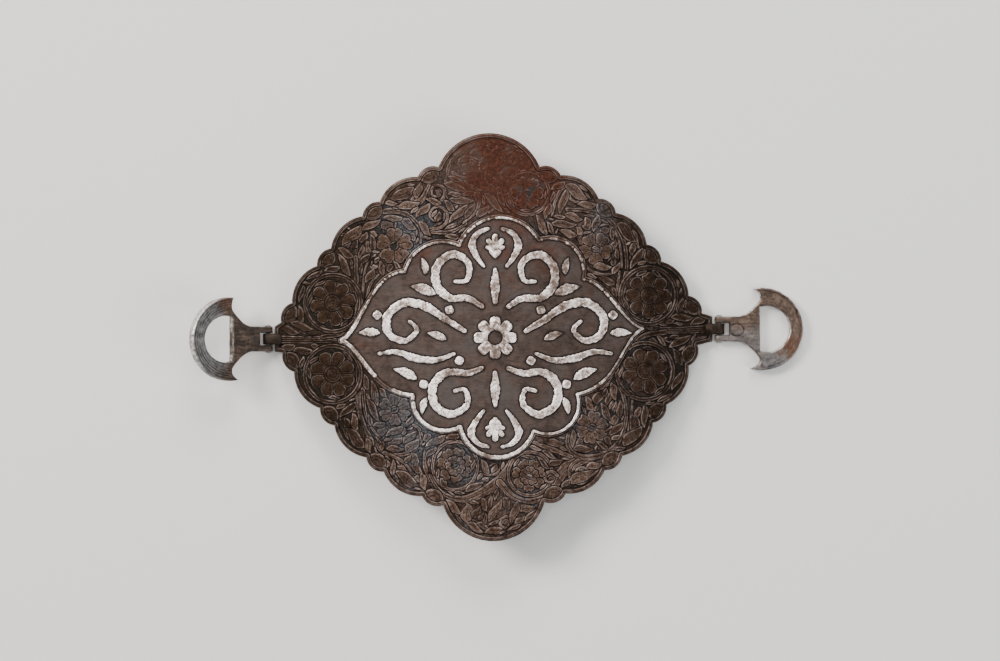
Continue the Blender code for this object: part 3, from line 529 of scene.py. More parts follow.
LEAVES = (  # x, y, length, width, direction of the tip in degrees
    (-33.2, 36.2, 4.6, 3.4, 20.0), (-37.6, 33.6, 3.2, 2.0, 160.0), (-41.0, 32.4, 4.4, 2.6, 60.0),
    (-39.6, 29.4, 4.6, 2.6, 110.0), (-40.4, 25.6, 4.6, 2.6, 55.0), (-46.6, 30.6, 4.8, 3.0, 80.0),
    (-26.4, 36.4, 6.0, 3.2, -30.0), (-37.6, 22.9, 3.2, 1.8, 10.0), (-32.6, 22.4, 3.2, 2.4, -90.0),
    (-36.6, 25.2, 3.0, 1.8, 60.0), (-26.2, 42.7, 7.6, 3.0, 14.0), (-21.2, 35.0, 6.4, 2.8, -48.0),
    (-25.0, 32.4, 3.4, 2.2, -60.0), (-34.9, -30.0, 3.6, 3.2, 80.0), (-30.4, -33.4, 6.4, 2.7, 28.0),
    (-33.0, -32.9, 3.2, 1.5, 20.0), (-28.0, -30.1, 2.8, 2.4, 95.0), (-25.2, -34.8, 6.2, 3.5, 48.0),
    (-35.0, -35.0, 3.6, 1.8, 82.0), (-46.4, -28.4, 5.2, 2.6, -70.0), (-43.6, -33.2, 5.4, 2.4, -50.0),
    (-34.2, -41.2, 4.2, 3.2, -110.0), (-28.7, -42.3, 3.8, 2.8, 150.0), (-23.7, -42.3, 4.6, 2.8, -35.0),
    (-24.6, -38.9, 4.2, 3.0, 130.0), (-26.6, -46.0, 4.2, 2.6, -70.0), (-24.4, -46.2, 4.2, 2.6, -115.0),
    (-20.6, -32.4, 3.6, 2.8, -85.0), (-38.4, -33.4, 3.6, 1.8, 120.0), (-38.9, -26.8, 4.6, 1.8, 112.0),
    (-15.4, -46.6, 3.6, 2.8, 130.0), (-1.8, -45.6, 2.4, 2.0, 40.0), (1.4, -50.6, 4.0, 2.0, -100.0),
    (-2.2, -53.8, 4.8, 2.6, -70.0), (4.9, -53.4, 4.8, 2.8, -60.0), (-7.8, -56.2, 6.8, 4.2, 95.0),
    (11.4, -55.0, 5.6, 3.0, 15.0), (-2.4, -60.6, 5.0, 2.2, -20.0), (9.2, -58.6, 4.4, 2.2, 40.0),
    (-3.2, -57.4, 3.4, 1.8, 60.0), (34.0, -19.6, 4.2, 3.6, -95.0), (37.5, -19.9, 4.8, 2.2, -105.0),
    (33.5, -23.0, 2.6, 2.0, 80.0), (30.4, -22.4, 3.2, 1.3, -40.0), (39.4, -26.6, 3.4, 3.2, 90.0),
    (28.2, -33.6, 3.4, 2.5, 100.0), (37.4, -33.4, 3.6, 2.4, -40.0), (33.8, -36.0, 2.6, 1.8, -90.0),
    (46.2, -29.0, 8.6, 3.8, -72.0), (47.2, -24.0, 4.0, 2.4, 80.0), (39.6, -22.4, 4.0, 1.8, 80.0),
    (20.6, -40.2, 5.4, 2.6, 20.0), (30.6, 36.8, 4.6, 3.2, 105.0), (28.2, 34.4, 3.4, 2.4, 130.0),
    (28.6, 31.4, 3.2, 2.6, 150.0), (36.4, 34.6, 3.8, 2.6, 30.0), (39.2, 29.8, 4.6, 2.4, 70.0),
    (39.2, 25.0, 4.4, 2.2, 100.0), (46.0, 32.0, 7.6, 2.8, -62.0), (43.8, 36.4, 4.4, 2.2, -50.0),
    (-56.9, -2.9, 3.4, 2.2, 170.0), (-54.2, 2.9, 3.4, 1.8, 150.0), (49.8, 6.4, 3.4, 2.2, 60.0),
    (52.4, -1.4, 3.6, 2.4, -20.0), (57.6, 5.2, 3.6, 2.0, 20.0), (57.0, -0.8, 3.4, 1.8, -10.0),
)
# Scrolls that curl in on a bud (x, y, radius, start angle), and rings round a flower (x, y, radius, taller
# by).
CURLS = (
    (-17.4, 46.8, 3.0, -60.0), (-17.4, 39.2, 4.4, -120.0), (28.6, -43.9, 4.5, 100.0), (4.4, -59.6, 2.2, 60.0),
    (18.8, -45.2, 2.4, 20.0), (-8.2, 55.4, 4.6, -150.0), (6.2, 58.0, 3.6, 60.0), (0.6, 50.4, 3.4, -90.0),
    (27.4, 45.8, 3.4, 30.0), (-27.2, 45.6, 3.2, 150.0),
)
RINGS = ((-11.6, -41.2, 7.2, 1.08), (12.4, -43.8, 7.0, 1.0), (11.4, 46.5, 7.0, 1.0))
FLOWERS = (  # x, y, reach, petals, turn in degrees
    (-31.0, 29.6, 6.1, 5, 18.0),
    (-30.9, -23.2, 5.4, 6, 30.0),
    (32.2, -29.0, 5.5, 6, 20.0),
    (33.4, 28.8, 5.5, 5, 54.0),
    (11.4, 46.5, 5.6, 6, 0.0),
)
PEONIES = ((-11.7, -41.0, 5.9, 20.0), (11.9, -44.2, 5.6, 65.0))
ROSES = ((-51.1, 11.2, 10.0), (-51.2, -11.9, 25.0), (50.6, 13.6, 0.0), (49.4, -10.9, 18.0))
CURL_WIDTHS = (1.3, 1.1, 0.8)

for widths, lines, knots in STEMS:
    lay_stem(widths, knots, lines=lines)
for x, y, radius, taller in RINGS:
    ring = around(x, y, radius * taller + 2.0)
    out = np.hypot(plan_x[ring] - x, (plan_y[ring] - y) / taller)
    lay(ring, np.abs(out - radius) - 0.62, RELIEF_TOP, 0.5 * line_mark(out - radius, 0.2))
for x, y, radius, start in CURLS:
    lay_stem(CURL_WIDTHS, coil_knots(x, y, radius, start, 1.35, 0.3 * radius))
    lay_leaf(x + 0.1 * radius, y - 0.05 * radius, 0.85 * radius, 0.55 * radius, start + 200.0)
for row in LEAVES:
    lay_leaf(*row)
for x, y, reach, turn in PEONIES:
    lay_flower(x, y, reach, 7, turn, eye=0.5)
    lay_flower(x + 0.2, y - 0.2, 0.58 * reach, 5, turn + 20.0, eye=0.34)
for row in FLOWERS:
    lay_flower(*row)
for row in ROSES:
    lay_rose(*row)

# A small lobe is a shell of ribs round its middle. A medium one holds a leaf along the edge, but for the
# last, where the tongue begins.
SHELL_LINES = ((0.92, 0.9), (0.60, 0.8), (0.28, 0.7))
LAST_MEDIUM = 5
for cusps in CUSPS.values():
    for index, (start, end) in enumerate(zip(cusps, cusps[1:])):
        start, end = np.array(start), np.array(end)
        length = math.dist(start, end)
        centre, out, heading = outward_of(start, end)
        if index % 2 == 0:
            shell = around(*centre, 0.75 * length)
            dx, dy = plan_x[shell] - centre[0], plan_y[shell] - centre[1]
            radius = np.hypot(dx + out[0] * 0.6, dy + out[1] * 0.6)
            ribs = np.maximum.reduce([power * line_mark(radius - 0.5 * length * place, 0.24)
                                      for place, power in SHELL_LINES])
            lay(shell, radius - 0.47 * length, RELIEF_TOP - 0.02, ribs, tone=0.9)
        elif index != LAST_MEDIUM:
            inner = centre - out * 2.1
            lay_leaf(*inner, 0.62 * length, 0.27 * length, heading)


# Bare bluish steel shows through in patches: x, y, reach, how much.
COOL = ((-30.0, -24.0, 9.0, 1.0), (-24.0, -33.0, 8.0, 0.8), (-36.0, -26.0, 6.0, 0.9), (-22.0, 28.0, 7.0, 0.5),
        (-30.0, 34.0, 8.0, 0.35), (-6.0, -40.0, 8.0, 0.6), (28.0, -28.0, 9.0, 0.4), (-10.0, 45.0, 6.0, 0.35),
        (36.0, 34.0, 8.0, 0.35), (-20.0, -46.0, 7.0, 0.45), (12.0, 47.0, 5.0, 0.3))


def coolness(x, y):
    """How bare and bluish the steel is at a place: the greatest of the patches."""
    return np.maximum.reduce([power * smooth(1.6 - np.hypot(x - cx, y - cy) / reach)
                              for cx, cy, reach, power in COOL])


FILL_MOST, FILL_WIDEST, FILL_LEAST, FILL_SPACING = 900, 1.55, 0.62, 0.4


def fill_ground():
    """Fills what ground is left with small leaves, some of them sunk. Each stands where the clear space is
    widest and lies the way that the space runs; then the space left is worked out again."""
    taken = raised[::2, ::2] > 0.25
    tree = kdtree.KDTree(int(taken.sum()))
    for number, place in enumerate(zip(plan_x[::2, ::2][taken], plan_y[::2, ::2][taken])):
        tree.insert((*place, 0.0), number)
    tree.balance()
    low_x, low_y = plan_x.min(), plan_y.min()
    gx, gy = np.meshgrid(np.arange(low_x, plan_x.max(), FILL_SPACING),
                         np.arange(low_y, plan_y.max(), FILL_SPACING))
    offset_x, offset_y = gx - MIDDLE[0], gy - MIDDLE[1]
    turn, reach = np.arctan2(offset_y, offset_x), np.hypot(offset_x, offset_y)
    inner = reach - reach_at(turn.ravel(), silver_line).reshape(gx.shape) - 1.6
    outer = reach_at(turn.ravel(), edge_line).reshape(gx.shape) - reach - 1.9
    clear = np.minimum(inner, outer)
    for index in zip(*np.nonzero(clear > 0.0)):
        clear[index] = min(clear[index], tree.find((gx[index], gy[index], 0.0))[2])
    ways = np.radians(np.arange(0, 180, 15))

    def space(x, y):
        """The clear space at the nearest points of the grid."""
        row = np.clip(np.round((y - low_y) / FILL_SPACING).astype(int), 0, gx.shape[0] - 1)
        column = np.clip(np.round((x - low_x) / FILL_SPACING).astype(int), 0, gx.shape[1] - 1)
        return clear[row, column]

    for count in range(FILL_MOST):
        best = np.unravel_index(np.argmax(clear), clear.shape)
        width = min(clear[best], FILL_WIDEST)
        if width < FILL_LEAST:
            break
        x, y = gx[best], gy[best]
        steps = np.linspace(0.0, 2.6, 9)[:, None] * width
        runs = []
        for sign in (1, -1):
            room = space(x + sign * steps * np.cos(ways), y + sign * steps * np.sin(ways)) > 0.42 * width
            runs.append(steps[np.minimum(np.cumprod(room, axis=0).sum(axis=0), 8), 0])
        way = int(np.argmax(runs[0] + runs[1]))
        ahead, behind = runs[0][way], runs[1][way]
        cosine, sine = math.cos(ways[way]), math.sin(ways[way])
        shift = (ahead - behind) / 2
        length = ahead + behind + 0.5 * width
        cx, cy = x + shift * cosine, y + shift * sine
        chance = 0.5 + 0.5 * math.sin(12.9 * x + 78.2 * y)
        sunk = width < 1.12 and chance < 0.30 + 0.25 * coolness(x, y)
        lay_leaf(cx, cy, length, 2 * width - 0.34, math.degrees(ways[way]) + 180 * (count % 2), sunk=sunk)
        along = np.clip((gx - cx) * cosine + (gy - cy) * sine, -length / 2, length / 2)
        gap = np.hypot(gx - cx - along * cosine, gy - cy - along * sine)
        body = (width - 0.15) * np.sqrt(np.clip(1.0 - (2.0 * along / length) ** 2, 0.0, 1.0))
        clear[:] = np.minimum(clear, gap - body)


fill_ground()

# The rim follows the edge: a filed chamfer, then a flat band with a line cut along it.
RIM_TOP = 1.66
RIM_WIDTH, RIM_LINE = 1.5, 0.95
CHAMFER = 0.6
EDGE_TOP = 1.15


def edge_distance(reach):
    """Distance of the grid points from the outer edge, up to reach: round an arc's centre, or to a straight
    run."""
    distance = np.full(plan_x.shape, float(reach))
    for start, end, rise in edge_rows():
        middle = (np.array(start) + np.array(end)) / 2
        area = around(*middle, math.dist(start, end) / 2 + rise + reach)
        px, py = plan_x[area], plan_y[area]
        if rise:
            centre, radius, (low, high) = lobe(start, end, rise)
            turn = np.arctan2(py - centre[1], px - centre[0])
            half = (high - low) / 2
            off = np.abs((turn - (low + half) + np.pi) % (2 * np.pi) - np.pi)
            ends = np.minimum(np.hypot(px - start[0], py - start[1]), np.hypot(px - end[0], py - end[1]))
            gap = np.where(off <= half, np.abs(np.hypot(px - centre[0], py - centre[1]) - radius), ends)
        else:
            gap, _ = along_route(px, py, np.array((start, end)), reach)
        distance[area] = np.minimum(distance[area], gap)
    return distance


edge_gap = edge_distance(4.5)
rim = np.nonzero(edge_gap < 4.4)
gap = edge_gap[rim]
lay(rim, gap - RIM_WIDTH, RIM_TOP, line_mark(gap - RIM_LINE, 0.16) * 0.45, tone=0.85)
fall = np.clip(1.0 - gap / CHAMFER, 0.0, 1.0)
height[rim] -= (RIM_TOP - EDGE_TOP) * fall ** 1.3
# The chamfer takes a painted highlight along the edge.
light[rim] = np.maximum(light[rim], smooth(1.0 - gap / 0.5))

# The panel stands above the relief on a bevel, with a narrow bare margin round its foot.
PANEL_TOP = 1.7
PANEL_MARGIN = 1.15
inner_rows = np.nonzero(ray_reach < silver_reach[:, None] + 12.0)
panel_gap, _ = along_route(plan_x[inner_rows], plan_y[inner_rows], back_to_start(panel_points(0.6)), 4.0)
foot = tuple(index[panel_gap < 3.9] for index in inner_rows)
lay(foot, panel_gap[panel_gap < 3.9] - PANEL_MARGIN, PANEL_TOP, tone=0.6)


def oval(x, y, reach_x, reach_y, margin=1.5):
    """1 inside an oval round (x, y), falling to 0 where the distance over the reach comes to margin."""
    return smooth(margin - np.hypot((plan_x - x) / reach_x, (plan_y - y) / reach_y))


# Over the upper lobe the relief is worn almost flat, and its rim with it. Dirt stays in one hollow of it.
WORN_LEVEL = 1.42
worn_rim = oval(2.0, 55.0, 19.0, 13.5)
worn = worn_rim * smooth((edge_gap - 1.2) / 1.0)
height += (WORN_LEVEL + 0.25 * (height - WORN_LEVEL) - height) * worn
cut *= 1.0 - 0.86 * worn
light *= (1.0 - 0.88 * worn) * (1.0 - 0.45 * worn_rim)
raised += (0.60 - raised) * 0.85 * worn
pale += (0.15 - pale) * worn
dull_pole = oval(0.0, -57.0, 14.0, 9.0, margin=1.4)
light *= 1.0 - 0.42 * dull_pole
pale -= 0.30 * dull_pole


CELLS = 64


def hammered(x, y, size, seed):
    """Soft random unevenness from -1 to 1: a lattice of random numbers size apart, blended between its
    points."""
    lattice = np.random.default_rng(seed).uniform(-1.0, 1.0, (CELLS, CELLS))
    u, v = x / size, y / size
    column, line = np.floor(u).astype(int), np.floor(v).astype(int)
    fu, fv = smooth(u - column), smooth(v - line)
    left, right = column % CELLS, (column + 1) % CELLS
    below, above = line % CELLS, (line + 1) % CELLS
    near = lattice[left, below] * (1 - fu) + lattice[right, below] * fu
    far = lattice[left, above] * (1 - fu) + lattice[right, above] * fu
    return near * (1 - fv) + far * fv


height += 0.030 * hammered(plan_x, plan_y, 2.3, 3) + 0.014 * hammered(plan_x, plan_y, 0.7, 5)
height += 0.02 * (1.0 - raised) * hammered(plan_x, plan_y, 0.4, 8)


# ---------------------------------------------------------------- steel plate: the pieces of its face
# The border is made as four quarters and the panel as one piece between them, under the silver line.
# Each is a closed body of steel, with the back of the plate on its other side.
BACK_ROWS = 12


def outward_normals(place):
    """Vertex normals of a grid that closes on itself along its first axis: the cross product of its two
    central differences, one-sided at the profile's two ends."""
    along = np.roll(place, -1, axis=0) - np.roll(place, 1, axis=0)
    across = np.gradient(place, axis=1)
    normal = np.cross(across, along)
    return normal / np.maximum(np.linalg.norm(normal, axis=-1, keepdims=True), 1e-12)


def new_piece(name, points, faces, material, body="plate_body"):
    """A smooth mesh object whose points are in metres in the row frame, riding on a body."""
    mesh = bpy.data.meshes.new(name)
    mesh.from_pydata(points, [], faces)
    mesh.polygons.foreach_set("use_smooth", np.ones(len(mesh.polygons), bool))
    mesh.materials.append(material)
    mesh.update()
    piece = bpy.data.objects.new(name, mesh)
    bpy.context.scene.collection.objects.link(piece)
    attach(piece, body)
    return piece


def paint(piece, name, values):
    """Keeps one number for each vertex under a name that the material reads."""
    layer = piece.data.attributes.new(name, "FLOAT", "POINT")
    layer.data.foreach_set("value", np.ravel(values).astype(np.float32))


def paint_evenly(piece, levels):
    """Keeps one number for the whole piece under each name."""
    for name, level in levels.items():
        paint(piece, name, np.full(len(piece.data.vertices), level))


def grid_faces(rows, columns, closed_columns=False):
    """Quads of a grid of rows by columns of points, numbered row by row."""
    columns_of_quads = columns if closed_columns else columns - 1
    row, column = np.meshgrid(np.arange(rows - 1), np.arange(columns_of_quads), indexing="ij")
    after = (column + 1) % columns
    here, there = row * columns, (row + 1) * columns
    return np.stack((here + column, here + after, there + after, there + column), axis=-1).reshape(-1, 4)


def end_caps(rows, columns):
    """The two end faces of a tube of rows by columns of points."""
    last = (rows - 1) * columns
    return [list(range(columns))[::-1], list(range(last, last + columns))]


class Shades:
    """A node tree, with a short name for each kind of node that the metals are made of. What a node is given
    may be a value or another node's output."""

    def __init__(self, tree):
        self.tree = tree

    def add(self, kind, inputs=None, **settings):
        """A node with its settings and its inputs, which go by name or number."""
        node = self.tree.nodes.new(kind)
        for name, value in settings.items():
            setattr(node, name, value)
        for name, value in (inputs or {}).items():
            if isinstance(value, bpy.types.NodeSocket):
                self.tree.links.new(value, node.inputs[name])
            else:
                node.inputs[name].default_value = value
        return node

    def sum_of(self, operation, first, second, clamp=False):
        """One sum on two values."""
        node = self.add("ShaderNodeMath", {0: first, 1: second}, operation=operation, use_clamp=clamp)
        return node.outputs[0]

    def plus(self, first, second, clamp=False):
        """The two values added."""
        return self.sum_of("ADD", first, second, clamp)

    def less(self, first, second, clamp=False):
        """The first value less the second."""
        return self.sum_of("SUBTRACT", first, second, clamp)

    def times(self, first, second, clamp=False):
        """The two values multiplied."""
        return self.sum_of("MULTIPLY", first, second, clamp)

    def mix(self, share, first, second, mode="MIX"):
        """Two colours mixed by a share."""
        mix = self.add("ShaderNodeMix", {0: share, 6: first, 7: second}, data_type="RGBA", blend_type=mode)
        return mix.outputs[2]

    def tint(self, first, second):
        """Two colours multiplied."""
        return self.mix(1.0, first, second, "MULTIPLY")

    def ramp(self, value, low, high):
        """0 where the value is under low, 1 where it is over high, and even between."""
        ramp = self.add("ShaderNodeMapRange", {0: value, 1: low, 2: high, 3: 0.0, 4: 1.0}, clamp=True)
        return ramp.outputs[0]

    def noise(self, place, scale, detail, roughness=0.5, distortion=0.0):
        """Cloudy noise of a number of cells to the metre."""
        noise = self.add("ShaderNodeTexNoise", {"Vector": place, "Scale": scale, "Detail": detail,
                                                "Roughness": roughness, "Distortion": distortion})
        return noise.outputs[0]

    def along(self, place, axis):
        """One of the coordinates of a place: 0 for x, 1 for y."""
        return self.add("ShaderNodeSeparateXYZ", {0: place}).outputs[axis]

    def read(self, name):
        """The vertex numbers kept under a name."""
        return self.add("ShaderNodeAttribute", attribute_name=name).outputs["Fac"]

    def rust(self, place, scale, amount):
        """The outputs of the rust group: Mask, Colour and Height."""
        return self.add("ShaderNodeGroup", {"Place": place, "Scale": scale, "Amount": amount},
                        node_tree=rust_group).outputs

    def pits(self, place, scale, cover):
        """The outputs of the pits group: Mask and Height."""
        return self.add("ShaderNodeGroup", {"Place": place, "Scale": scale, "Cover": cover},
                        node_tree=pits_group).outputs


def new_group(name, inputs, outputs):
    """An empty node group with named inputs (name, kind, default) and outputs (name, kind)."""
    group = bpy.data.node_groups.new(name, "ShaderNodeTree")
    for label, kind, default in inputs:
        socket = group.interface.new_socket(name=label, in_out="INPUT", socket_type="NodeSocket" + kind)
        if default is not None:
            socket.default_value = default
    for label, kind in outputs:
        group.interface.new_socket(name=label, in_out="OUTPUT", socket_type="NodeSocket" + kind)
    return group, group.nodes.new("NodeGroupInput"), group.nodes.new("NodeGroupOutput")


def give(nodes, result, *values):
    """Links values to the outputs of a group, in their order."""
    for value, socket in zip(values, result.inputs):
        nodes.tree.links.new(value, socket)


RUST_SHADES = ((0.30, (0.0245, 0.0108, 0.0072, 1)), (0.52, (0.0547, 0.0202, 0.0130, 1)),
               (0.72, (0.090, 0.036, 0.0216, 1)))


def make_rust_group():
    """Rust: blotches with a torn edge that break up into specks. Gives a mask, a colour and a height."""
    group, given, result = new_group(
        "rust", (("Place", "Vector", None), ("Scale", "Float", 90.0), ("Amount", "Float", 0.3)),
        (("Mask", "Float"), ("Colour", "Color"), ("Height", "Float")))
    nodes = Shades(group)
    place, scale, amount = given.outputs[:3]
    blotch = nodes.noise(place, scale, 6.0, 0.68, 0.4)
    fine = nodes.noise(place, nodes.times(scale, 9.0), 4.0, 0.7)
    level = nodes.plus(nodes.times(blotch, 0.7), nodes.times(fine, 0.3))
    edge = nodes.less(0.74, nodes.times(amount, 0.46))
    mask = nodes.ramp(nodes.less(level, edge), -0.03, 0.06)
    colour = nodes.add("ShaderNodeValToRGB", {0: fine})
    stops = colour.color_ramp.elements
    for stop, (along, shade) in zip(stops, RUST_SHADES):
        stop.position, stop.color = along, shade
    stops.new(RUST_SHADES[2][0]).color = RUST_SHADES[2][1]
    give(nodes, result, mask, colour.outputs[0], nodes.times(mask, fine))
    return group


def make_pits_group():
    """Pits: small round hollows of two sizes, and fine grain. Gives a mask, 1 in a pit, and a height."""
    group, given, result = new_group(
        "pits", (("Place", "Vector", None), ("Scale", "Float", 900.0), ("Cover", "Float", 0.35)),
        (("Mask", "Float"), ("Height", "Float")))
    nodes = Shades(group)
    place, scale, cover = given.outputs[:3]
    large = nodes.noise(place, scale, 2.0, 0.6)
    small = nodes.add("ShaderNodeTexVoronoi", {"Vector": place, "Scale": nodes.times(scale, 1.7)})
    low = nodes.less(1.0, nodes.ramp(large, 0.30, 0.46))
    spot = nodes.less(1.0, nodes.ramp(small.outputs["Distance"], 0.10, 0.32))
    mask = nodes.times(nodes.sum_of("MAXIMUM", low, nodes.times(spot, 0.6)), cover, clamp=True)
    grain = nodes.noise(place, nodes.times(scale, 4.0), 3.0)
    give(nodes, result, mask, nodes.less(nodes.times(grain, 0.25), mask))
    return group


rust_group = make_rust_group()
pits_group = make_pits_group()


def new_metal(name, metallic, specular=0.35):
    """A material, its nodes, its shader and the object coordinates."""
    material = bpy.data.materials.new(name)
    material.use_nodes = True
    nodes = Shades(material.node_tree)
    shader = material.node_tree.nodes["Principled BSDF"]
    shader.inputs["Metallic"].default_value = metallic
    shader.inputs["Specular IOR Level"].default_value = specular
    return material, nodes, shader, nodes.add("ShaderNodeTexCoord").outputs["Object"]


BUMP_DEPTH = 0.00012


def finish_metal(nodes, shader, colour, roughness, height, strength=0.5):
    """Colour, roughness and bump height into the shader."""
    bump = nodes.add("ShaderNodeBump", {"Strength": strength, "Distance": BUMP_DEPTH, "Height": height})
    for name, value in (("Base Color", colour), ("Roughness", roughness), ("Normal", bump.outputs[0])):
        nodes.tree.links.new(value, shader.inputs[name])


FORM_DARK = (0.0254, 0.0143, 0.0099, 1)
FORM_TIP = (0.0187, 0.0108, 0.0065, 1)
FORM_BLUE = (0.0471, 0.0457, 0.0486, 1)
FORM_TAN = (0.0505, 0.0299, 0.0212, 1)
FORM_LIGHT = (0.0990, 0.0658, 0.0510, 1)
FORM_STAIN = (0.0590, 0.0360, 0.0273, 1)
# the painted shade that darkens the forms towards the two ends of the plate
SIDE_SHADE_TINT = (0.355, 0.315, 0.245, 1)
GROUND_BROWN = (0.0133, 0.0083, 0.0059, 1)
GROUND_BLUE = (0.0310, 0.0340, 0.0384, 1)
GROUND_PALE = (0.0774, 0.0817, 0.0879, 1)
GROUND_STAIN = (0.0288, 0.0187, 0.0165, 1)
# the ground under the painted shade towards the two ends of the plate
GROUND_SIDE_SHADE = (0.0094, 0.0069, 0.0046, 1)
CUT_AND_SHADE_BLACK = (0.0036, 0.0025, 0.0021, 1)
EDGE_HIGHLIGHT = (0.2550, 0.2029, 0.1836, 1)


def make_relief_steel():
    """Brown, waxy steel: a dark bluish ground, tan on the forms, near black in the cuts, and bright on edges,
    a painted highlight and wear together. Towards the two ends of the guard it is darker and browner, a
    painted shade where the arch turns from the light, and darker still close to the tongues."""
    material, nodes, shader, place = new_metal("relief_steel", metallic=0.55, specular=0.06)
    mix, ramp, plus, less, times = nodes.mix, nodes.ramp, nodes.plus, nodes.less, nodes.times
    cuts, form, edge, rusty, bare, cool, back = (
        nodes.read(name) for name in ("cut", "raised", "edge", "rusty", "pale", "cool", "back"))
    patch = nodes.noise(place, 70.0, 5.0, 0.62)
    mottle = nodes.noise(place, 420.0, 6.0, 0.75)
    fleck = nodes.noise(place, 1500.0, 3.0, 0.65)
    from_middle = nodes.sum_of("ABSOLUTE", nodes.along(place, 0), 0.0)
    # side is a painted shade towards the two ends of the plate, where the arch turns from the light; tip is
    # darker still close to the tongues
    side = less(ramp(from_middle, 0.030, 0.050), back, clamp=True)
    tip = less(times(ramp(from_middle, 0.058, 0.067), 0.75), back, clamp=True)
    speck = plus(times(ramp(fleck, 0.32, 0.68), 1.1), 0.5)
    cold = plus(plus(times(patch, 0.8), times(cool, 0.20)), times(fleck, 0.2))
    cold_form = plus(cold, times(cool, 0.10))
    scraped = plus(cold, times(mottle, 0.35))

    skin = plus(mottle, times(bare, 0.22))
    tan = mix(ramp(skin, 0.42, 0.62), FORM_DARK, FORM_TAN)
    tan = mix(ramp(skin, 0.62, 0.80), tan, FORM_LIGHT)
    tan = mix(times(ramp(cold_form, 0.60, 0.74), 0.85), tan, FORM_BLUE)
    tan = nodes.tint(tan, speck)
    tan = mix(side, tan, nodes.tint(tan, SIDE_SHADE_TINT))
    tan = mix(tip, tan, FORM_TIP)
    ground = mix(ramp(cold, 0.48, 0.66), GROUND_BROWN, GROUND_BLUE)
    ground = mix(ramp(scraped, 0.80, 0.98), ground, GROUND_PALE)
    ground = mix(side, nodes.tint(ground, speck), GROUND_SIDE_SHADE)
    stain = times(ramp(rusty, 0.28, 0.52), 0.75)
    colour = mix(form, mix(stain, ground, GROUND_STAIN), mix(stain, tan, FORM_STAIN))

    rust = nodes.rust(place, 110.0, rusty)
    colour = mix(rust["Mask"], colour, rust["Colour"])
    colour = mix(times(cuts, 0.94), colour, CUT_AND_SHADE_BLACK)
    # Edges take a painted highlight and wear, less towards the painted shade at the ends.
    worn = times(edge, ramp(mottle, 0.38, 0.60))
    colour = mix(times(worn, less(0.92, times(side, 0.30))), colour, EDGE_HIGHLIGHT)
    pits = nodes.pits(place, 1500.0, 0.5)
    colour = mix(times(pits["Mask"], 0.6), colour, CUT_AND_SHADE_BLACK)
    rough = plus(times(mottle, 0.35), 0.34)
    rough = plus(rough, times(rust["Mask"], 0.25), clamp=True)
    rough = less(rough, times(worn, 0.18), clamp=True)
    finish_metal(nodes, shader, colour, rough, plus(pits["Height"], rust["Height"]))
    return material


relief_steel = make_relief_steel()

# Down the outer wall and back under the plate, from the edge to the silver line.
WALL_HEIGHTS = (0.72, 0.40, 0.12)
BACK_STARTS = (0.10, 0.35, 0.9)
wall_x, wall_y = (np.repeat(plan[:, -1:], len(WALL_HEIGHTS), axis=1) for plan in (plan_x, plan_y))
wall_h = np.tile(WALL_HEIGHTS, (RAYS, 1))
span = edge_reach - silver_reach
back_share = np.linspace(0.0, 1.0, BACK_ROWS - 2)[1:]
back_inset = np.concatenate((np.tile(BACK_STARTS, (RAYS, 1)),
                             BACK_STARTS[-1] + (span[:, None] - BACK_STARTS[-1]) * back_share), axis=1)
back_reach = edge_reach[:, None] - back_inset
back_x, back_y = on_rays(ray_turn, back_reach)
back_h = 0.03 * hammered(back_x, back_y, 6.0, 11) * smooth((edge_reach[:, None] - back_reach) / 3.0)
back_h *= smooth((back_reach - silver_reach[:, None]) / 3.0)
border = bend(np.hstack((plan_x, wall_x, back_x)), np.hstack((plan_y, wall_y, back_y)),
              np.hstack((height, wall_h, back_h)))
border_normals = outward_normals(border)
PROFILE = border.shape[1]

# Where a form's face turns down, its edge is painted bright, a painted highlight and wear together: the
# height stands above the mean of its neighbours. The painted highlight lines join in, broken into patches.
neighbours = sum(np.roll(height, step, axis=axis) for axis in (0, 1) for step in (-2, 2)) / 4.0
light *= 0.45 + 0.60 * smooth(0.5 + 1.2 * hammered(plan_x, plan_y, 3.2, 17))
edge = np.maximum(0.5 * smooth((height - neighbours - 0.02) / 0.06), 0.95 * light)

# In patches the ground is filled with dirt and takes on the tan of the forms.
filled = smooth(0.5 + hammered(plan_x, plan_y, 8.0, 13)) * (1.0 - 0.8 * coolness(plan_x, plan_y))
filled = np.maximum(filled, 1.15 * dull_pole)
raised += np.maximum(0.85 - raised, 0.0) * 0.62 * filled

# Rust is thickest on the upper lobe, and thinner towards the two ends and in one hollow.
rusty = 0.22 + 0.62 * oval(7.0, 54.0, 19.5, 16.0, margin=1.45)
rusty -= 0.12 * smooth((np.abs(plan_x) - 30.0) / 15.0)
rusty -= 0.16 * worn * smooth(1.6 * hammered(plan_x, plan_y, 3.2, 5))
hollow = oval(12.0, 47.0, 5.0, 4.2, margin=1.3) * smooth(0.45 + 1.5 * hammered(plan_x, plan_y, 1.5, 7))
rusty -= 0.40 * hollow
raised -= 0.50 * hollow

# What the steel reads: the face's own numbers, and the number for the walls and the back.
layers = {"cut": (cut, 0.0), "raised": (raised, 0.75), "edge": (edge, 0.0), "rusty": (rusty, 0.30),
          "pale": (pale, 0.15), "cool": (coolness(plan_x, plan_y), 0.2), "back": (np.zeros(cut.shape), 1.0)}
# The top row of the outer wall is painted bright all round as a highlight.
WALL_HIGHLIGHT = 0.8

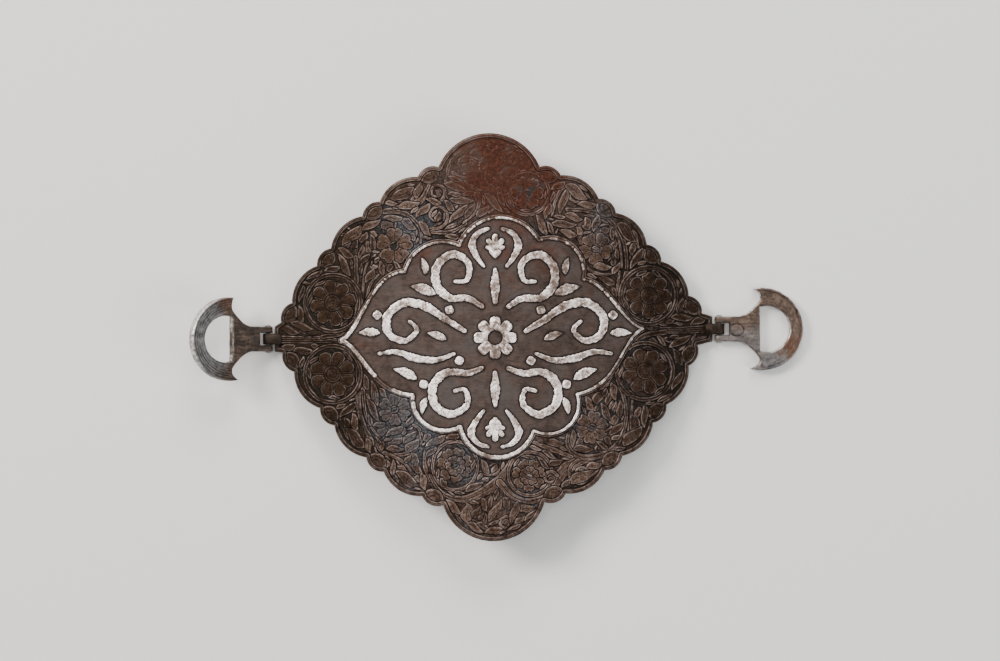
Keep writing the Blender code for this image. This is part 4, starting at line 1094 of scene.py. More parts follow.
QUARTERS = ("lower_left", "lower_right", "upper_right", "upper_left")
quarter_starts = np.searchsorted(ray_turn, (-np.pi, -np.pi / 2, 0.0, np.pi / 2))
for quarter, start, end in zip(QUARTERS, quarter_starts, list(quarter_starts[1:]) + [RAYS]):
    rays = np.arange(start, end + 1) % RAYS
    faces = grid_faces(len(rays), PROFILE, closed_columns=True).tolist() + end_caps(len(rays), PROFILE)
    piece = new_piece("border_" + quarter, border[rays].reshape(-1, 3), faces, relief_steel)
    for layer, (values, behind) in layers.items():
        rest = np.full((len(rays), PROFILE - ROWS), behind)
        if layer == "edge":
            rest[:, 0] = WALL_HIGHLIGHT
        paint(piece, layer, np.hstack((values[rays], rest)))
    piece.data.normals_split_custom_set_from_vertices(border_normals[rays].reshape(-1, 3))
    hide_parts("plate")


# The panel: smooth steel, scraped level, with a fine brushed grain. Its points lie on rings round the middle.
PANEL_RAYS = RAYS * 2 // 5
PANEL_RINGS = 78
UNDER_EVERY = 11
panel_turn = ray_turn[np.arange(PANEL_RAYS) * RAYS // PANEL_RAYS]
panel_reach = reach_at(panel_turn, silver_line)
ring_share = np.linspace(0.0, 1.0, PANEL_RINGS + 1)[1:]
panel_x, panel_y = on_rays(panel_turn, panel_reach[:, None] * ring_share)
panel_h = PANEL_TOP + 0.05 * hammered(panel_x, panel_y, 5.0, 21) + 0.02 * hammered(panel_x, panel_y, 1.4, 22)
under = np.arange(PANEL_RINGS - 1, -1, -UNDER_EVERY)
under_side = np.zeros((PANEL_RAYS, len(under)))
PANEL_COLUMNS = PANEL_RINGS + len(under)
PANEL_COUNT = PANEL_RAYS * PANEL_COLUMNS
panel_grid = bend(np.hstack((panel_x, panel_x[:, under])), np.hstack((panel_y, panel_y[:, under])),
                  np.hstack((panel_h, under_side)))
panel_middles = tuple(bend(MIDDLE[:1], MIDDLE[1:], np.array((level,))) for level in (PANEL_TOP, 0.0))


def panel_faces():
    """Quads between neighbouring rays, down the face and back under, with a fan round the middle of each
    side."""
    wrapped = grid_faces(PANEL_RAYS + 1, PANEL_COLUMNS) % PANEL_COUNT
    ray = np.arange(PANEL_RAYS)
    this, after = ray * PANEL_COLUMNS, (ray + 1) % PANEL_RAYS * PANEL_COLUMNS
    last = PANEL_COLUMNS - 1
    top = np.stack((np.full(PANEL_RAYS, PANEL_COUNT), this, after), axis=-1)
    bottom = np.stack((np.full(PANEL_RAYS, PANEL_COUNT + 1), after + last, this + last), axis=-1)
    return wrapped.tolist() + top.tolist() + bottom.tolist()


PANEL_DARK = (0.0191, 0.0133, 0.0112, 1)
PANEL_LIGHT = (0.0799, 0.0554, 0.0461, 1)
PANEL_BLUE = (0.0415, 0.0411, 0.0411, 1)
SCRAPES = ((-0.7, 0.30), (0.5, 0.22), (1.4, 0.18))  # direction in radians, share of the grain


def make_panel_steel():
    """Grey-brown steel, scraped in several directions, with painted shade and patina close to the silver, and
    browner towards the panel's upper end."""
    material, nodes, shader, place = new_metal("panel_steel", metallic=0.55, specular=0.12)
    mix, ramp, plus, times = nodes.mix, nodes.ramp, nodes.plus, nodes.times
    grain = nodes.noise(place, 330.0, 6.0, 0.72, 0.6)
    for turned, share in SCRAPES:
        scraped = nodes.add("ShaderNodeMapping", {0: place, 2: (0.0, 0.0, turned), 3: (330.0, 2600.0, 400.0)})
        scratch = nodes.noise(scraped.outputs[0], 1.0, 4.0, 0.75)
        grain = nodes.add("ShaderNodeMix", {0: share, 2: grain, 3: scratch}).outputs[0]
    patch = nodes.noise(place, 95.0, 5.0, 0.6)
    level = plus(times(grain, 0.75), times(patch, 0.25))
    colour = mix(ramp(level, 0.40, 0.60), PANEL_DARK, PANEL_LIGHT)
    colour = mix(times(ramp(patch, 0.45, 0.68), 0.55), colour, PANEL_BLUE)
    upper = ramp(nodes.along(place, 1), 0.004, 0.034)
    rust = nodes.rust(place, 120.0, plus(times(upper, 0.22), 0.30))
    colour = mix(times(rust["Mask"], 0.7), colour, rust["Colour"])
    colour = mix(times(nodes.read("shade"), 0.9), colour, CUT_AND_SHADE_BLACK)
    rough = plus(times(grain, 0.30), 0.36)
    finish_metal(nodes, shader, colour, rough, plus(grain, rust["Height"]), 0.35)
    return material


panel_steel = make_panel_steel()
panel = new_piece("panel", np.vstack((panel_grid.reshape(-1, 3),) + panel_middles), panel_faces(),
                  panel_steel)
panel.data.set_sharp_from_angle(angle=math.radians(50))
panel.data.materials.append(relief_steel)
turned_down = np.array([face.normal.z < -0.5 for face in panel.data.polygons])
panel.data.polygons.foreach_set("material_index", turned_down.astype(np.int32))
paint_evenly(panel, {layer: behind for layer, (_, behind) in layers.items()})
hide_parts("plate")


# ---------------------------------------------------------------- hinge eyes
# Each tongue ends in an eye filed from the solid, which sits between the arms of a strap loop on its pin.
# An eye is one profile, a round boss running back into the tongue, carried across between two round cheeks.
KNUCKLE_RADIUS, KNUCKLE_HALF, EYE_BORE = 1.7, 1.75, 0.95
CHEEK_INSET, CHEEK_ROUND = 0.18, 0.16
# edge on the eye is its share of the painted highlight and wear colour.
EYE_LEVELS = {"cut": 0.0, "raised": 0.5, "edge": 0.1, "rusty": 0.30, "pale": 0.1, "cool": 0.0, "back": 0.0}
for side, inward in (("left", 1), ("right", -1)):
    hinge = hinges[side + "_hinge"]
    turn = np.radians(np.linspace(-105, 105, 29))
    slope = math.asin((hinge[0] - plate_x) / ARCH_RADIUS)
    boss = np.stack((-inward * KNUCKLE_RADIUS * np.cos(turn), KNUCKLE_RADIUS * np.sin(turn)), axis=-1)
    web = np.array(((inward * 2.2, 0.95), (inward * 5.0, 0.72), (inward * 5.0, -0.60), (inward * 2.2, -1.25)))
    profile = np.vstack((boss, web))
    bore_turn = np.arctan2(profile[:, 1], profile[:, 0])
    bore = EYE_BORE * np.stack((np.cos(bore_turn), np.sin(bore_turn)), axis=-1)
    cosine, sine = math.cos(slope), math.sin(slope)
    rings = []
    for ring, hand, inset in ((profile, -1, CHEEK_INSET), (profile, -1, 0.0), (profile, 1, 0.0),
                              (profile, 1, CHEEK_INSET), (bore, 1, 0.0), (bore, -1, 0.0)):
        ring = ring * (1.0 - inset / KNUCKLE_RADIUS)
        across = hand * (KNUCKLE_HALF if inset else KNUCKLE_HALF - CHEEK_ROUND)
        rings.append(np.stack((hinge[0] + ring[:, 0] * cosine + ring[:, 1] * sine,
                               np.full(len(ring), hinge[1] + across),
                               hinge[2] - ring[:, 0] * sine + ring[:, 1] * cosine), axis=-1))
    faces = grid_faces(len(rings) + 1, len(profile), closed_columns=True) % (len(rings) * len(profile))
    if side == "left":
        faces = faces[:, ::-1]
    eye = new_piece(side + "_hinge_eye", np.vstack(rings) * MM, faces.tolist(), relief_steel)
    paint_evenly(eye, EYE_LEVELS)
    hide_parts("plate")


# ---------------------------------------------------------------- silver overlay
# Strips, leaves and dots cut from silver sheet and hammered on to the cross-cut panel. They stand about half
# a millimetre proud, with rounded borders, worn and pitted. Round each the panel is painted with a dark line
# of shade and patina together, and the foot of each piece is painted dark as shade.
SILVER_FOOT = -0.12
PANEL_MIDDLE_X = 1.2
HALF_SECTION = np.array(((0.2, 0.50), (0.55, 0.49), (0.84, 0.46), (0.95, 0.36), (1.0, 0.24),
                         (1.0, SILVER_FOOT)))
SECTION = np.vstack((HALF_SECTION[::-1] * (-1.0, 1.0), HALF_SECTION))

SILVER_PALE = (0.860, 0.708, 0.638, 1)
SILVER_DULL = (0.360, 0.270, 0.230, 1)
SILVER_BROWN = (0.1152, 0.0792, 0.0612, 1)
SILVER_GONE = (0.0612, 0.0346, 0.0245, 1)
SILVER_BRIGHT = (1.0, 0.905, 0.86, 1)
SILVER_PIT = (0.0720, 0.0475, 0.0360, 1)


def make_silver():
    """Old silver: pinkish white, bright where rubbed, dull and brown in patches, with black pits. Where the
    silver has gone the brown seat that it was hammered into shows."""
    material, nodes, shader, place = new_metal("old_silver", metallic=0.4)
    mix, ramp, plus, less, times = nodes.mix, nodes.ramp, nodes.plus, nodes.less, nodes.times
    border, gone = nodes.read("border"), nodes.read("gone")
    worn = nodes.noise(place, 420.0, 6.0, 0.72, 0.5)
    level = plus(times(worn, 0.6), times(nodes.noise(place, 75.0, 3.0), 0.4))
    level = plus(level, times(less(border, 0.5), 0.03))
    level = less(level, times(ramp(nodes.along(place, 1), -0.018, 0.030), 0.035))
    colour = mix(ramp(level, 0.38, 0.47), SILVER_BROWN, SILVER_DULL)
    colour = mix(ramp(level, 0.43, 0.54), colour, SILVER_PALE)
    colour = mix(ramp(level, 0.47, 0.54), colour, SILVER_BRIGHT)
    speck = ramp(nodes.noise(place, 1700.0, 3.0, 0.7), 0.38, 0.56)
    speck = times(plus(times(speck, 0.53), 0.49), plus(times(border, 0.22), 0.82))
    colour = nodes.tint(colour, speck)
    pits = nodes.pits(place, 1300.0, 0.75)
    colour = mix(pits["Mask"], colour, SILVER_PIT)
    colour = mix(gone, colour, SILVER_GONE)
    # The foot of each piece, where it meets the panel, is painted dark as shade.
    colour = mix(nodes.read("foot"), colour, CUT_AND_SHADE_BLACK)
    rough = less(0.70, times(level, 0.80))
    rough = plus(rough, times(pits["Mask"], 0.3), clamp=True)
    finish_metal(nodes, shader, colour, rough, plus(pits["Height"], worn), 0.6)
    return material


old_silver = make_silver()
panel_shade = np.zeros(panel_x.shape)
SHADE_WIDTH = 0.84


def shade_round(outline):
    """Darkens the panel along an outline of silver."""
    low, high = outline.min(0) - 2.0, outline.max(0) + 2.0
    near = np.nonzero((panel_x > low[0]) & (panel_x < high[0]) & (panel_y > low[1]) & (panel_y < high[1]))
    gap, _ = along_route(panel_x[near], panel_y[near], back_to_start(outline), 1.6)
    panel_shade[near] = np.maximum(panel_shade[near], line_mark(gap - 0.12, SHADE_WIDTH))


def sides_of(route, closed):
    """Unit vectors square to a route, to its left."""
    if closed:
        way = np.roll(route, -1, axis=0) - np.roll(route, 1, axis=0)
    else:
        way = np.gradient(route, axis=0)
    way /= np.maximum(np.hypot(way[:, 0], way[:, 1])[:, None], 1e-9)
    return np.stack((-way[:, 1], way[:, 0]), axis=-1)


def silver_piece(name, x, y, lift, border, gone, closed, node):
    """A silver body from a grid of stations by section points, in plan, lifted above the panel."""
    stations, points = x.shape
    lift = lift + (lift > 0.1) * (0.06 * hammered(x, y, 1.1, 31) + 0.05 * hammered(x, y, 0.35, 32))
    place = bend(x, y, PANEL_TOP + lift)
    rows = stations + 1 if closed else stations
    faces = (grid_faces(rows, points, closed_columns=True) % (stations * points)).tolist()
    if not closed:
        faces += end_caps(stations, points)
    piece = new_piece(name, place.reshape(-1, 3), faces, old_silver)
    paint(piece, "border", border)
    paint(piece, "gone", gone)
    # foot: painted shade low on the sides, where the piece meets the panel
    paint(piece, "foot", smooth((0.20 - lift) / 0.20) * (1.0 - gone))
    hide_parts(node)


def silver_strip(name, route, half, node, closed=False, worn=0.0):
    """A strip: SECTION carried along the route and stretched to the half width at each station, with uneven
    sides. Where it is worn (0 to 1) it is narrower and lower. An open strip's ends are rounded off by the
    root of what is left of the last half width."""
    travel = travelled(route)
    worn = np.broadcast_to(worn, half.shape)
    half = half * (1.0 - 0.55 * worn)
    if not closed:
        left = np.minimum(travel, travel[-1] - travel) + 0.05
        half = half * np.sqrt(np.clip(1.0 - (1.0 - np.clip(left / (half * 1.3), 0.0, 1.0)) ** 2, 0.0, 1.0))
    side = sides_of(route, closed)
    across = SECTION[:, 0][::-1]
    own_line = np.full(travel.shape, float(len(name)))
    ragged = [0.10 * hammered(travel, own_line, 1.6, 33 + edge)
              + 0.15 * hammered(travel, own_line, 0.5, 35 + edge) for edge in (0, 1)]
    ragged = np.where(across > 0, ragged[0][:, None], ragged[1][:, None])
    if closed:
        ragged[:1] = ragged[-1:]
    reach = half[:, None] * across * (1.0 + ragged)
    x, y = route[:, :1] + side[:, :1] * reach, route[:, 1:] + side[:, 1:] * reach
    lift = np.tile(SECTION[:, 1][::-1], (len(route), 1)) * np.clip(half[:, None] / 0.25, 0.35, 1.0)
    lift = np.where(lift > 0, lift * (1.0 - 0.75 * worn[:, None]), lift)
    border = np.tile(smooth((np.abs(across) - 0.45) / 0.35), (len(route), 1))
    silver_piece(name, x, y, lift, border, np.repeat(worn[:, None], len(across), axis=1), closed, node)
    shade_round(np.vstack((route + side * half[:, None], (route - side * half[:, None])[::-1])))


# A disc's profile from its edge inwards: share of the way to the middle or to the hole, and height.
DISC_TOP = ((1.0, SILVER_FOOT), (1.0, 0.24), (0.96, 0.38), (0.88, 0.46), (0.65, 0.49), (0.35, 0.50))
DISC_HOLE = ((0.12, 0.46), (0.04, 0.38), (0.0, 0.24), (0.0, SILVER_FOOT))
DISC_MIDDLE = ((0.04, 0.50), (0.04, SILVER_FOOT))


def full_turn(count):
    """A count of even angles round a circle."""
    return np.linspace(0, 2 * math.pi, count, endpoint=False)


def silver_disc(name, x, y, turn, reach, hole, node):
    """A disc cut to a reach at each angle about (x, y), with a hole or closed to the middle."""
    profile = np.array(DISC_TOP + (DISC_HOLE if hole else DISC_MIDDLE))
    out = hole + (reach[:, None] - hole) * profile[:, 0]
    px, py = x + out * np.cos(turn)[:, None], y + out * np.sin(turn)[:, None]
    lift = np.tile(profile[:, 1], (len(turn), 1))
    border = np.tile(smooth((profile[:, 0] - 0.5) / 0.35), (len(turn), 1))
    grids = (grid[:, ::-1] for grid in (px, py, lift, border))
    silver_piece(name, *grids, np.zeros(px.shape), True, node)
    shade_round(np.stack((px[:, 0], py[:, 0]), axis=-1))
    if hole:
        shade_round(np.stack((px[:, -1], py[:, -1]), axis=-1))


VINES = {  # widths along it, route
    "upper_vine": ((1.4, 2.5, 2.4, 1.0), ((3.6, 9.6), (8.6, 12.6), (14.4, 12.8), (18.6, 17.0), (18.4, 23.2),
                                          (13.6, 26.8), (8.6, 24.0), (9.0, 18.6), (13.2, 18.0))),
    "side_vine": ((1.4, 2.6, 2.4, 1.0), ((9.2, 1.8), (15.4, 5.6), (22.4, 10.2), (29.2, 11.2), (34.4, 7.0),
                                         (33.8, 1.2), (28.8, -1.0), (25.0, 2.4), (27.6, 5.6))),
    "lower_vine": ((1.4, 2.5, 2.4, 1.0), ((3.6, -9.6), (9.0, -11.4), (15.4, -11.2), (19.8, -15.4),
                                          (19.2, -21.6), (14.0, -24.6), (9.0, -21.6), (9.6, -16.8),
                                          (13.4, -17.2))),
    "heel_vine": ((1.0, 2.3, 1.0), ((12.6, -5.0), (18.6, -7.2), (25.4, -6.6), (31.4, -4.6), (37.6, -5.2))),
    "crown_vine": ((0.9, 2.2, 0.9), ((3.4, 22.6), (6.0, 26.2), (7.4, 30.2), (5.4, 33.6), (1.8, 35.2))),
    "root_vine": ((0.9, 2.2, 0.9), ((3.4, -23.2), (6.0, -26.8), (7.6, -30.6), (5.4, -34.0), (1.8, -35.2))),
}
SILVER_LEAVES = {  # x, y, length, width, direction of the tip in degrees
    "upper_leaf": (23.0, 15.2, 8.4, 3.2, 18.0),
    "upper_bud": (22.8, 23.0, 5.6, 2.2, 78.0),
    "lower_bud": (22.6, -22.0, 5.6, 2.2, -75.0),
    "tip_leaf": (40.3, 1.4, 7.0, 2.6, 0.0),
    "heel_leaf": (28.8, -11.8, 8.2, 3.0, 24.0),
    "inner_leaf": (18.6, 0.4, 6.4, 2.4, 20.0),
}
DOTS = {"upper_dot": (14.6, 8.9), "lower_dot": (11.4, -7.4), "side_dot": (37.7, 7.3),
        "heel_dot": (22.8, -15.0)}
PALMETTES = {"upper_palmette": (28.0, 1), "lower_palmette": (-28.0, -1)}  # y, which way up
STEM_PIECES = {"upper_stem": (10.6, 22.4), "lower_stem": (-10.6, -22.4)}  # y of its two ends
DOT_RADIUS, PALMETTE_REACH, ROSETTE_REACH, ROSETTE_HOLE, ROSETTE_PETALS = 1.4, 5.4, 6.8, 2.4, 8
SILVER_STEP = 0.24
LINE_GAPS = (  # where the silver line is lost: x, y, reach
    (-35.6, -13.6, 1.9), (-33.2, -15.9, 1.9), (-24.9, -20.4, 0.5), (-24.0, -22.8, 0.7), (-21.9, -26.0, 0.6),
    (-18.8, -28.0, 0.3), (-39.0, 9.6, 0.4), (38.6, 11.0, 0.6), (36.0, 15.2, 0.5), (40.6, -8.0, 0.4),
)

# The silver line is thinner towards the top and worn through in specks there, and it is worn in patches near
# its right end.
closed_line = back_to_start(panel_points(0.02))
line_travel = travelled(closed_line)
line_stops = np.linspace(0.0, line_travel[-1], int(line_travel[-1] / SILVER_STEP), endpoint=False)
line_route = np.stack([np.interp(line_stops, line_travel, closed_line[:, axis]) for axis in (0, 1)], axis=-1)
line_x, line_y = line_route.T
thin = smooth((line_y - 2.0) / 14.0)
speckle = 0.5 + 0.5 * hammered(line_x, line_y, 0.8, 37)
broken = 0.5 + 0.5 * hammered(line_x, line_y, 3.2, 38)
lost = np.maximum.reduce([smooth((reach - np.hypot(line_x - x, line_y - y)) / 0.3)
                          for x, y, reach in LINE_GAPS])
specks = smooth((speckle + 0.5 * broken - 1.12 + 0.30 * thin) / 0.22) * (0.25 + 0.75 * thin)
line_half = 0.55 - 0.20 * thin - 0.17 * smooth((line_x - 10.0) / 4.0) * smooth(-line_y / 6.0)
dull = smooth((13.5 - np.hypot(line_x - 42.0, line_y + 3.0)) / 4.0)
line_worn = np.maximum(specks, lost)
line_worn = np.maximum(line_worn, 0.75 * dull * smooth(0.9 + 0.6 * hammered(line_x, line_y, 0.9, 40)))
silver_strip("silver_rim", line_route, line_half, "medallion_rim", closed=True, worn=line_worn)

for hand, sign in (("right", 1.0), ("left", -1.0)):
    for name, (widths, knots) in VINES.items():
        route = smooth_route(knots, SILVER_STEP) * (sign, 1.0) + (PANEL_MIDDLE_X, 0.0)
        way = np.linspace(0, 1, len(route))
        wear = smooth((hammered(*route.T, 1.5, 39) - 0.35) / 0.3) * smooth((way - 0.6) / 0.4)
        silver_strip(f"silver_{name}_{hand}", route, half_widths(way, widths) * 1.04, f"{name}_{hand}",
                     worn=0.6 * wear)
    for name, (x, y, length, width, turn) in SILVER_LEAVES.items():
        along = np.linspace(-0.5, 0.5, max(16, int(length / SILVER_STEP)))
        turn = math.radians(turn)
        bow = 0.06 * length * np.sin((along + 0.5) * math.pi)
        route = np.stack((x + along * length * math.cos(turn) - bow * math.sin(turn),
                          y + along * length * math.sin(turn) + bow * math.cos(turn)), axis=-1)
        route = route * (sign, 1.0) + (PANEL_MIDDLE_X, 0.0)
        half = np.maximum(leaf_half(along + 0.5, width, 0.9), 0.06)
        silver_strip(f"silver_{name}_{hand}", route, half, f"{name}_{hand}")
    for name, (x, y) in DOTS.items():
        turn = full_turn(28)
        reach = DOT_RADIUS * (1.0 + 0.07 * np.cos(4 * turn + x))
        silver_disc(f"silver_{name}_{hand}", PANEL_MIDDLE_X + sign * x, y, turn, reach, 0.0, f"{name}_{hand}")

# A palmette fans out in five petals 34 degrees apart and is drawn in to a foot behind.
for name, (y, up) in PALMETTES.items():
    turn = full_turn(150)
    off = (turn - up * math.pi / 2 + math.pi) % (2 * math.pi) - math.pi
    fan = np.clip(off / math.radians(34.0), -2.5, 2.5)
    leaf = np.round(np.clip(fan, -2.0, 2.0))
    petal_length = np.interp(np.abs(leaf), (0, 1, 2), (1.0, 0.84, 0.62))
    petal = petal_length * np.interp(np.abs(fan - leaf), (0.0, 0.25, 0.40, 0.5), (1.0, 0.95, 0.78, 0.52))
    behind = np.abs(off) > math.radians(85.0)
    foot = 0.36 + 0.10 * smooth((np.abs(off) - math.radians(150.0)) / math.radians(30.0))
    reach = PALMETTE_REACH * np.where(behind, foot, petal)
    silver_disc("silver_" + name, PANEL_MIDDLE_X, y, turn, reach, 0.0, name)
for name, (start, end) in STEM_PIECES.items():
    way = np.linspace(0, 1, 50)
    route = np.stack((np.full(50, PANEL_MIDDLE_X), np.linspace(start, end, 50)), axis=-1)
    silver_strip("silver_" + name, route, half_widths(way, (1.0, 3.0, 1.0)), name)
turn = full_turn(240)
petal = np.abs(turn / (2 * math.pi) * ROSETTE_PETALS % 1.0 - 0.5) * 2.0
reach = ROSETTE_REACH * np.interp(petal, (0.0, 0.3, 0.55, 0.8, 1.0), (0.60, 0.90, 0.98, 1.0, 0.98))
silver_disc("silver_centre_rosette", PANEL_MIDDLE_X, 0.0, turn, reach, ROSETTE_HOLE, "centre_rosette")
paint(panel, "shade", np.concatenate((np.hstack((panel_shade, under_side)).ravel(), (0.0, 0.0))))


# ---------------------------------------------------------------- strap loops
# A loop is forged flat: two fork arms round the hinge eye, a neck that flares to a bar, and a bow that ends
# in two horns. Its face is filed and chamfered, with lines cut along the bow. The left loop stands up on its
# stiff hinge. u runs from the hinge out along the loop, v across it, w up from the middle of its thickness.
LOOP_TILT = {"left": 33.0, "right": 0.5}
BOW_CENTRE, BOW_RADIUS = 14.0, 13.5
HORNS = {"left": (102.0, 95.0), "right": (102.0, 106.0)}
OPENING_CENTRE, OPENING_RADIUS, BAR_FACE = 15.6, 7.55, 13.3
FORK_ROOT, SLOT_HALF, ARM_HALF, ARM_TIP = 3.4, 2.05, 4.1, -1.46
HALF_THICK, LOOP_CHAMFER, ARM_RADIUS = 1.4, 0.38, 1.5
LATTICE_U, LATTICE_V = (-2.0, 28.0), (-14.5, 14.5)
LOOP_STEP = 0.2


def on_hinge(side, u, v, w):
    """Loop measures to metres in the row frame, turned up by the loop's tilt."""
    x, y, z = hinges[side + "_hinge"]
    tilt, out = math.radians(LOOP_TILT[side]), 1 if side == "right" else -1
    rise = -out * math.sin(tilt)
    return np.stack((x + out * u * math.cos(tilt) + w * math.sin(tilt), y + out * v,
                     z + u * rise + w * math.cos(tilt)), axis=-1) * MM


def run(points, spacing):
    """A straight run between two points or a cubic through four, without its end."""
    count = max(2, int(math.dist(points[0], points[-1]) * 1.1 / spacing))
    start, end = np.array(points[0], float), np.array(points[-1], float)
    third = (end - start) / 3
    inner = points[1:3] if len(points) == 4 else (start + third, end - third)
    return cubic(start, *inner, end, count)


def loop_side(horn, spacing):
    """Half of a loop's edge: out of the slot, round the fork arm and along the neck to the horn's tip."""
    horn_tip = (BOW_CENTRE + BOW_RADIUS * math.cos(horn), BOW_RADIUS * math.sin(horn))
    root, tip, slot, arm = FORK_ROOT, ARM_TIP, SLOT_HALF, ARM_HALF
    return np.vstack([run(points, spacing) for points in (
        ((root, 0.0), (root, slot - 0.25)),
        ((root, slot - 0.25), (root, slot), (root, slot), (root - 0.25, slot)),
        ((root - 0.25, slot), (tip + 0.2, slot)),
        ((tip + 0.2, slot), (tip, slot + 0.2)),
        ((tip, slot + 0.2), (tip, arm - 0.4)),
        ((tip, arm - 0.4), (tip, arm), (tip, arm), (tip + 0.4, arm)),
        ((tip + 0.4, arm), (6.2, arm)),
        ((6.2, arm), (8.0, 4.2), (10.2, 5.4), (13.2, 9.2)),
        ((13.2, 9.2), (13.9, 10.4), (13.5, 12.0), horn_tip))])


def filed(points, size, depth, seed):
    """The small unevenness that filing leaves in an edge."""
    wave = [hammered(points[:, 0], points[:, 1], size, seed + axis) for axis in (0, 1)]
    return depth * np.stack(wave, axis=-1)


def loop_edge(side, spacing):
    """The whole edge as a closed row of points, filed but for the fork."""
    upper, lower = (math.radians(angle) for angle in HORNS[side])
    turn = np.linspace(upper, -lower, int((upper + lower) * BOW_RADIUS / spacing))
    bow = np.stack((BOW_CENTRE + BOW_RADIUS * np.cos(turn), BOW_RADIUS * np.sin(turn)), axis=-1)
    points = np.vstack((loop_side(upper, spacing), bow, (loop_side(lower, spacing) * (1, -1))[:0:-1]))
    return points + filed(points, 1.7, 0.06, 41 if side == "left" else 44) * (points[:, :1] > 4.0)


def loop_opening(spacing):
    """The strap opening: a circle cut off by the bar, with eased corners."""
    half = math.acos((BAR_FACE + 0.5 - OPENING_CENTRE) / OPENING_RADIUS)
    turn = np.linspace(-half, half, int(2 * half * OPENING_RADIUS / spacing), endpoint=False)
    arc = np.stack((OPENING_CENTRE + OPENING_RADIUS * np.cos(turn), OPENING_RADIUS * np.sin(turn)), axis=-1)
    x, y = OPENING_CENTRE + OPENING_RADIUS * math.cos(half), OPENING_RADIUS * math.sin(half)
    foot = y - 0.9
    points = np.vstack((arc, run(((x, y), (BAR_FACE, y), (BAR_FACE, y), (BAR_FACE, foot)), spacing),
                        run(((BAR_FACE, foot), (BAR_FACE, -foot)), spacing),
                        run(((BAR_FACE, -foot), (BAR_FACE, -y), (BAR_FACE, -y), (x, -y)), spacing)))
    return points + filed(points, 1.3, 0.05, 51)


def inside(px, py, route):
    """Which points lie inside a closed route: a ray to the right crosses it an odd number of times."""
    within = np.zeros(len(px), bool)
    for (ax, ay), (bx, by) in zip(route, np.roll(route, -1, axis=0)):
        if ay != by:
            within ^= ((ay > py) != (by > py)) & (px < (bx - ax) * (py - ay) / (by - ay) + ax)
    return within


def spread(value, middle, half):
    """1 within half of the middle, fading to 0 at one and a half times that."""
    return smooth(3.0 - 2.0 * np.abs(value - middle) / half)


def bow_share(u, v):
    """1 on the bow and its horns, fading to 0 towards the neck."""
    return smooth((u - 14.0) / 2.0 + 0.5 * smooth((np.abs(v) - 8.0) / 1.5))


def loop_colours(side, u, v):
    """How grey, how rusty and how pale the steel is: the left bow is grey in its middle with rust at its
    upper horn, the right one grey low down with rust beside that, and streaks run along the loop."""
    turn = np.degrees(np.arctan2(v, u - BOW_CENTRE))
    on_bow = bow_share(u, v)
    gap = BOW_RADIUS - np.hypot(u - BOW_CENTRE, v)
    streak = on_bow * hammered(gap, turn / 12.0, 0.42, 67)
    streak = streak + (1.0 - on_bow) * hammered(v, u / 6.0, 0.42, 68)
    cloud = hammered(u, v, 2.4, 69)
    if side == "left":
        grey = spread(turn + 8.0 * cloud, -2.0, 58.0) * on_bow
        rusty = 0.10 + 0.50 * spread(turn, -92.0, 20.0) * on_bow + 0.12 * spread(turn, 88.0, 22.0) * on_bow
        pale = 0.16 + 0.58 * on_bow - 0.22 * spread(turn, 88.0, 22.0) * on_bow
    else:
        grey = np.maximum(spread(turn + 8.0 * cloud, -80.0, 24.0) * on_bow,
                          0.6 * (1.0 - on_bow) * smooth(0.5 - (v + 0.5 * cloud) / 5.0))
        rusty = 0.16 + 0.34 * spread(turn, -36.0, 20.0) * on_bow + 0.12 * spread(turn, 70.0, 20.0)
        pale = 0.62 + 0.25 * spread(turn, -36.0, 20.0)
    return grey, rusty + 0.06 * cloud, pale + (0.42 - 0.22 * grey) * streak + 0.18 * cloud


def loop_highlight_and_wear(side, u, v):
    """Where the filed edge is painted bright, a painted highlight and rubbed wear together: round the outside
    of the left bow, and on the right loop along the outer edge, the far side of the opening and the upper
    flare of the neck."""
    turn = np.degrees(np.arctan2(v, u - BOW_CENTRE))
    outer = smooth((np.hypot(u - BOW_CENTRE, v) - BOW_RADIUS + 2.0) / 0.5) * (u > 11.0)
    opening = smooth((OPENING_RADIUS + 2.0 - np.hypot(u - OPENING_CENTRE, v)) / 0.5) * (u > BAR_FACE + 0.3)
    patchy = smooth(0.6 + 0.7 * hammered(u, v, 1.6, 70))
    if side == "left":
        share = np.maximum(outer * spread(turn, -14.0, 44.0), 0.12 * outer)
    else:
        flare = smooth((v - 4.0) / 1.0) * (u < 13.5) * (u > 4.0)
        share = np.maximum.reduce((outer * spread(turn, 12.0, 46.0), opening * spread(turn, -22.0, 40.0),
                                   flare, 0.25 * outer, 0.2 * opening))
    return np.maximum(share, 0.3 * patchy) * (1.0 - smooth((4.2 - u) / 0.6) * smooth((2.4 - np.abs(v)) / 0.2))


# Lines along the bow: how far in from the outer edge, width, depth.
BOW_LINES = {"left": ((0.85, 0.17, 1.0), (1.60, 0.16, 0.9), (2.35, 0.17, 1.0), (3.15, 0.15, 0.8),
                      (3.9, 0.14, 0.7)),
             "right": ((0.95, 0.18, 0.9), (3.3, 0.14, 0.4))}


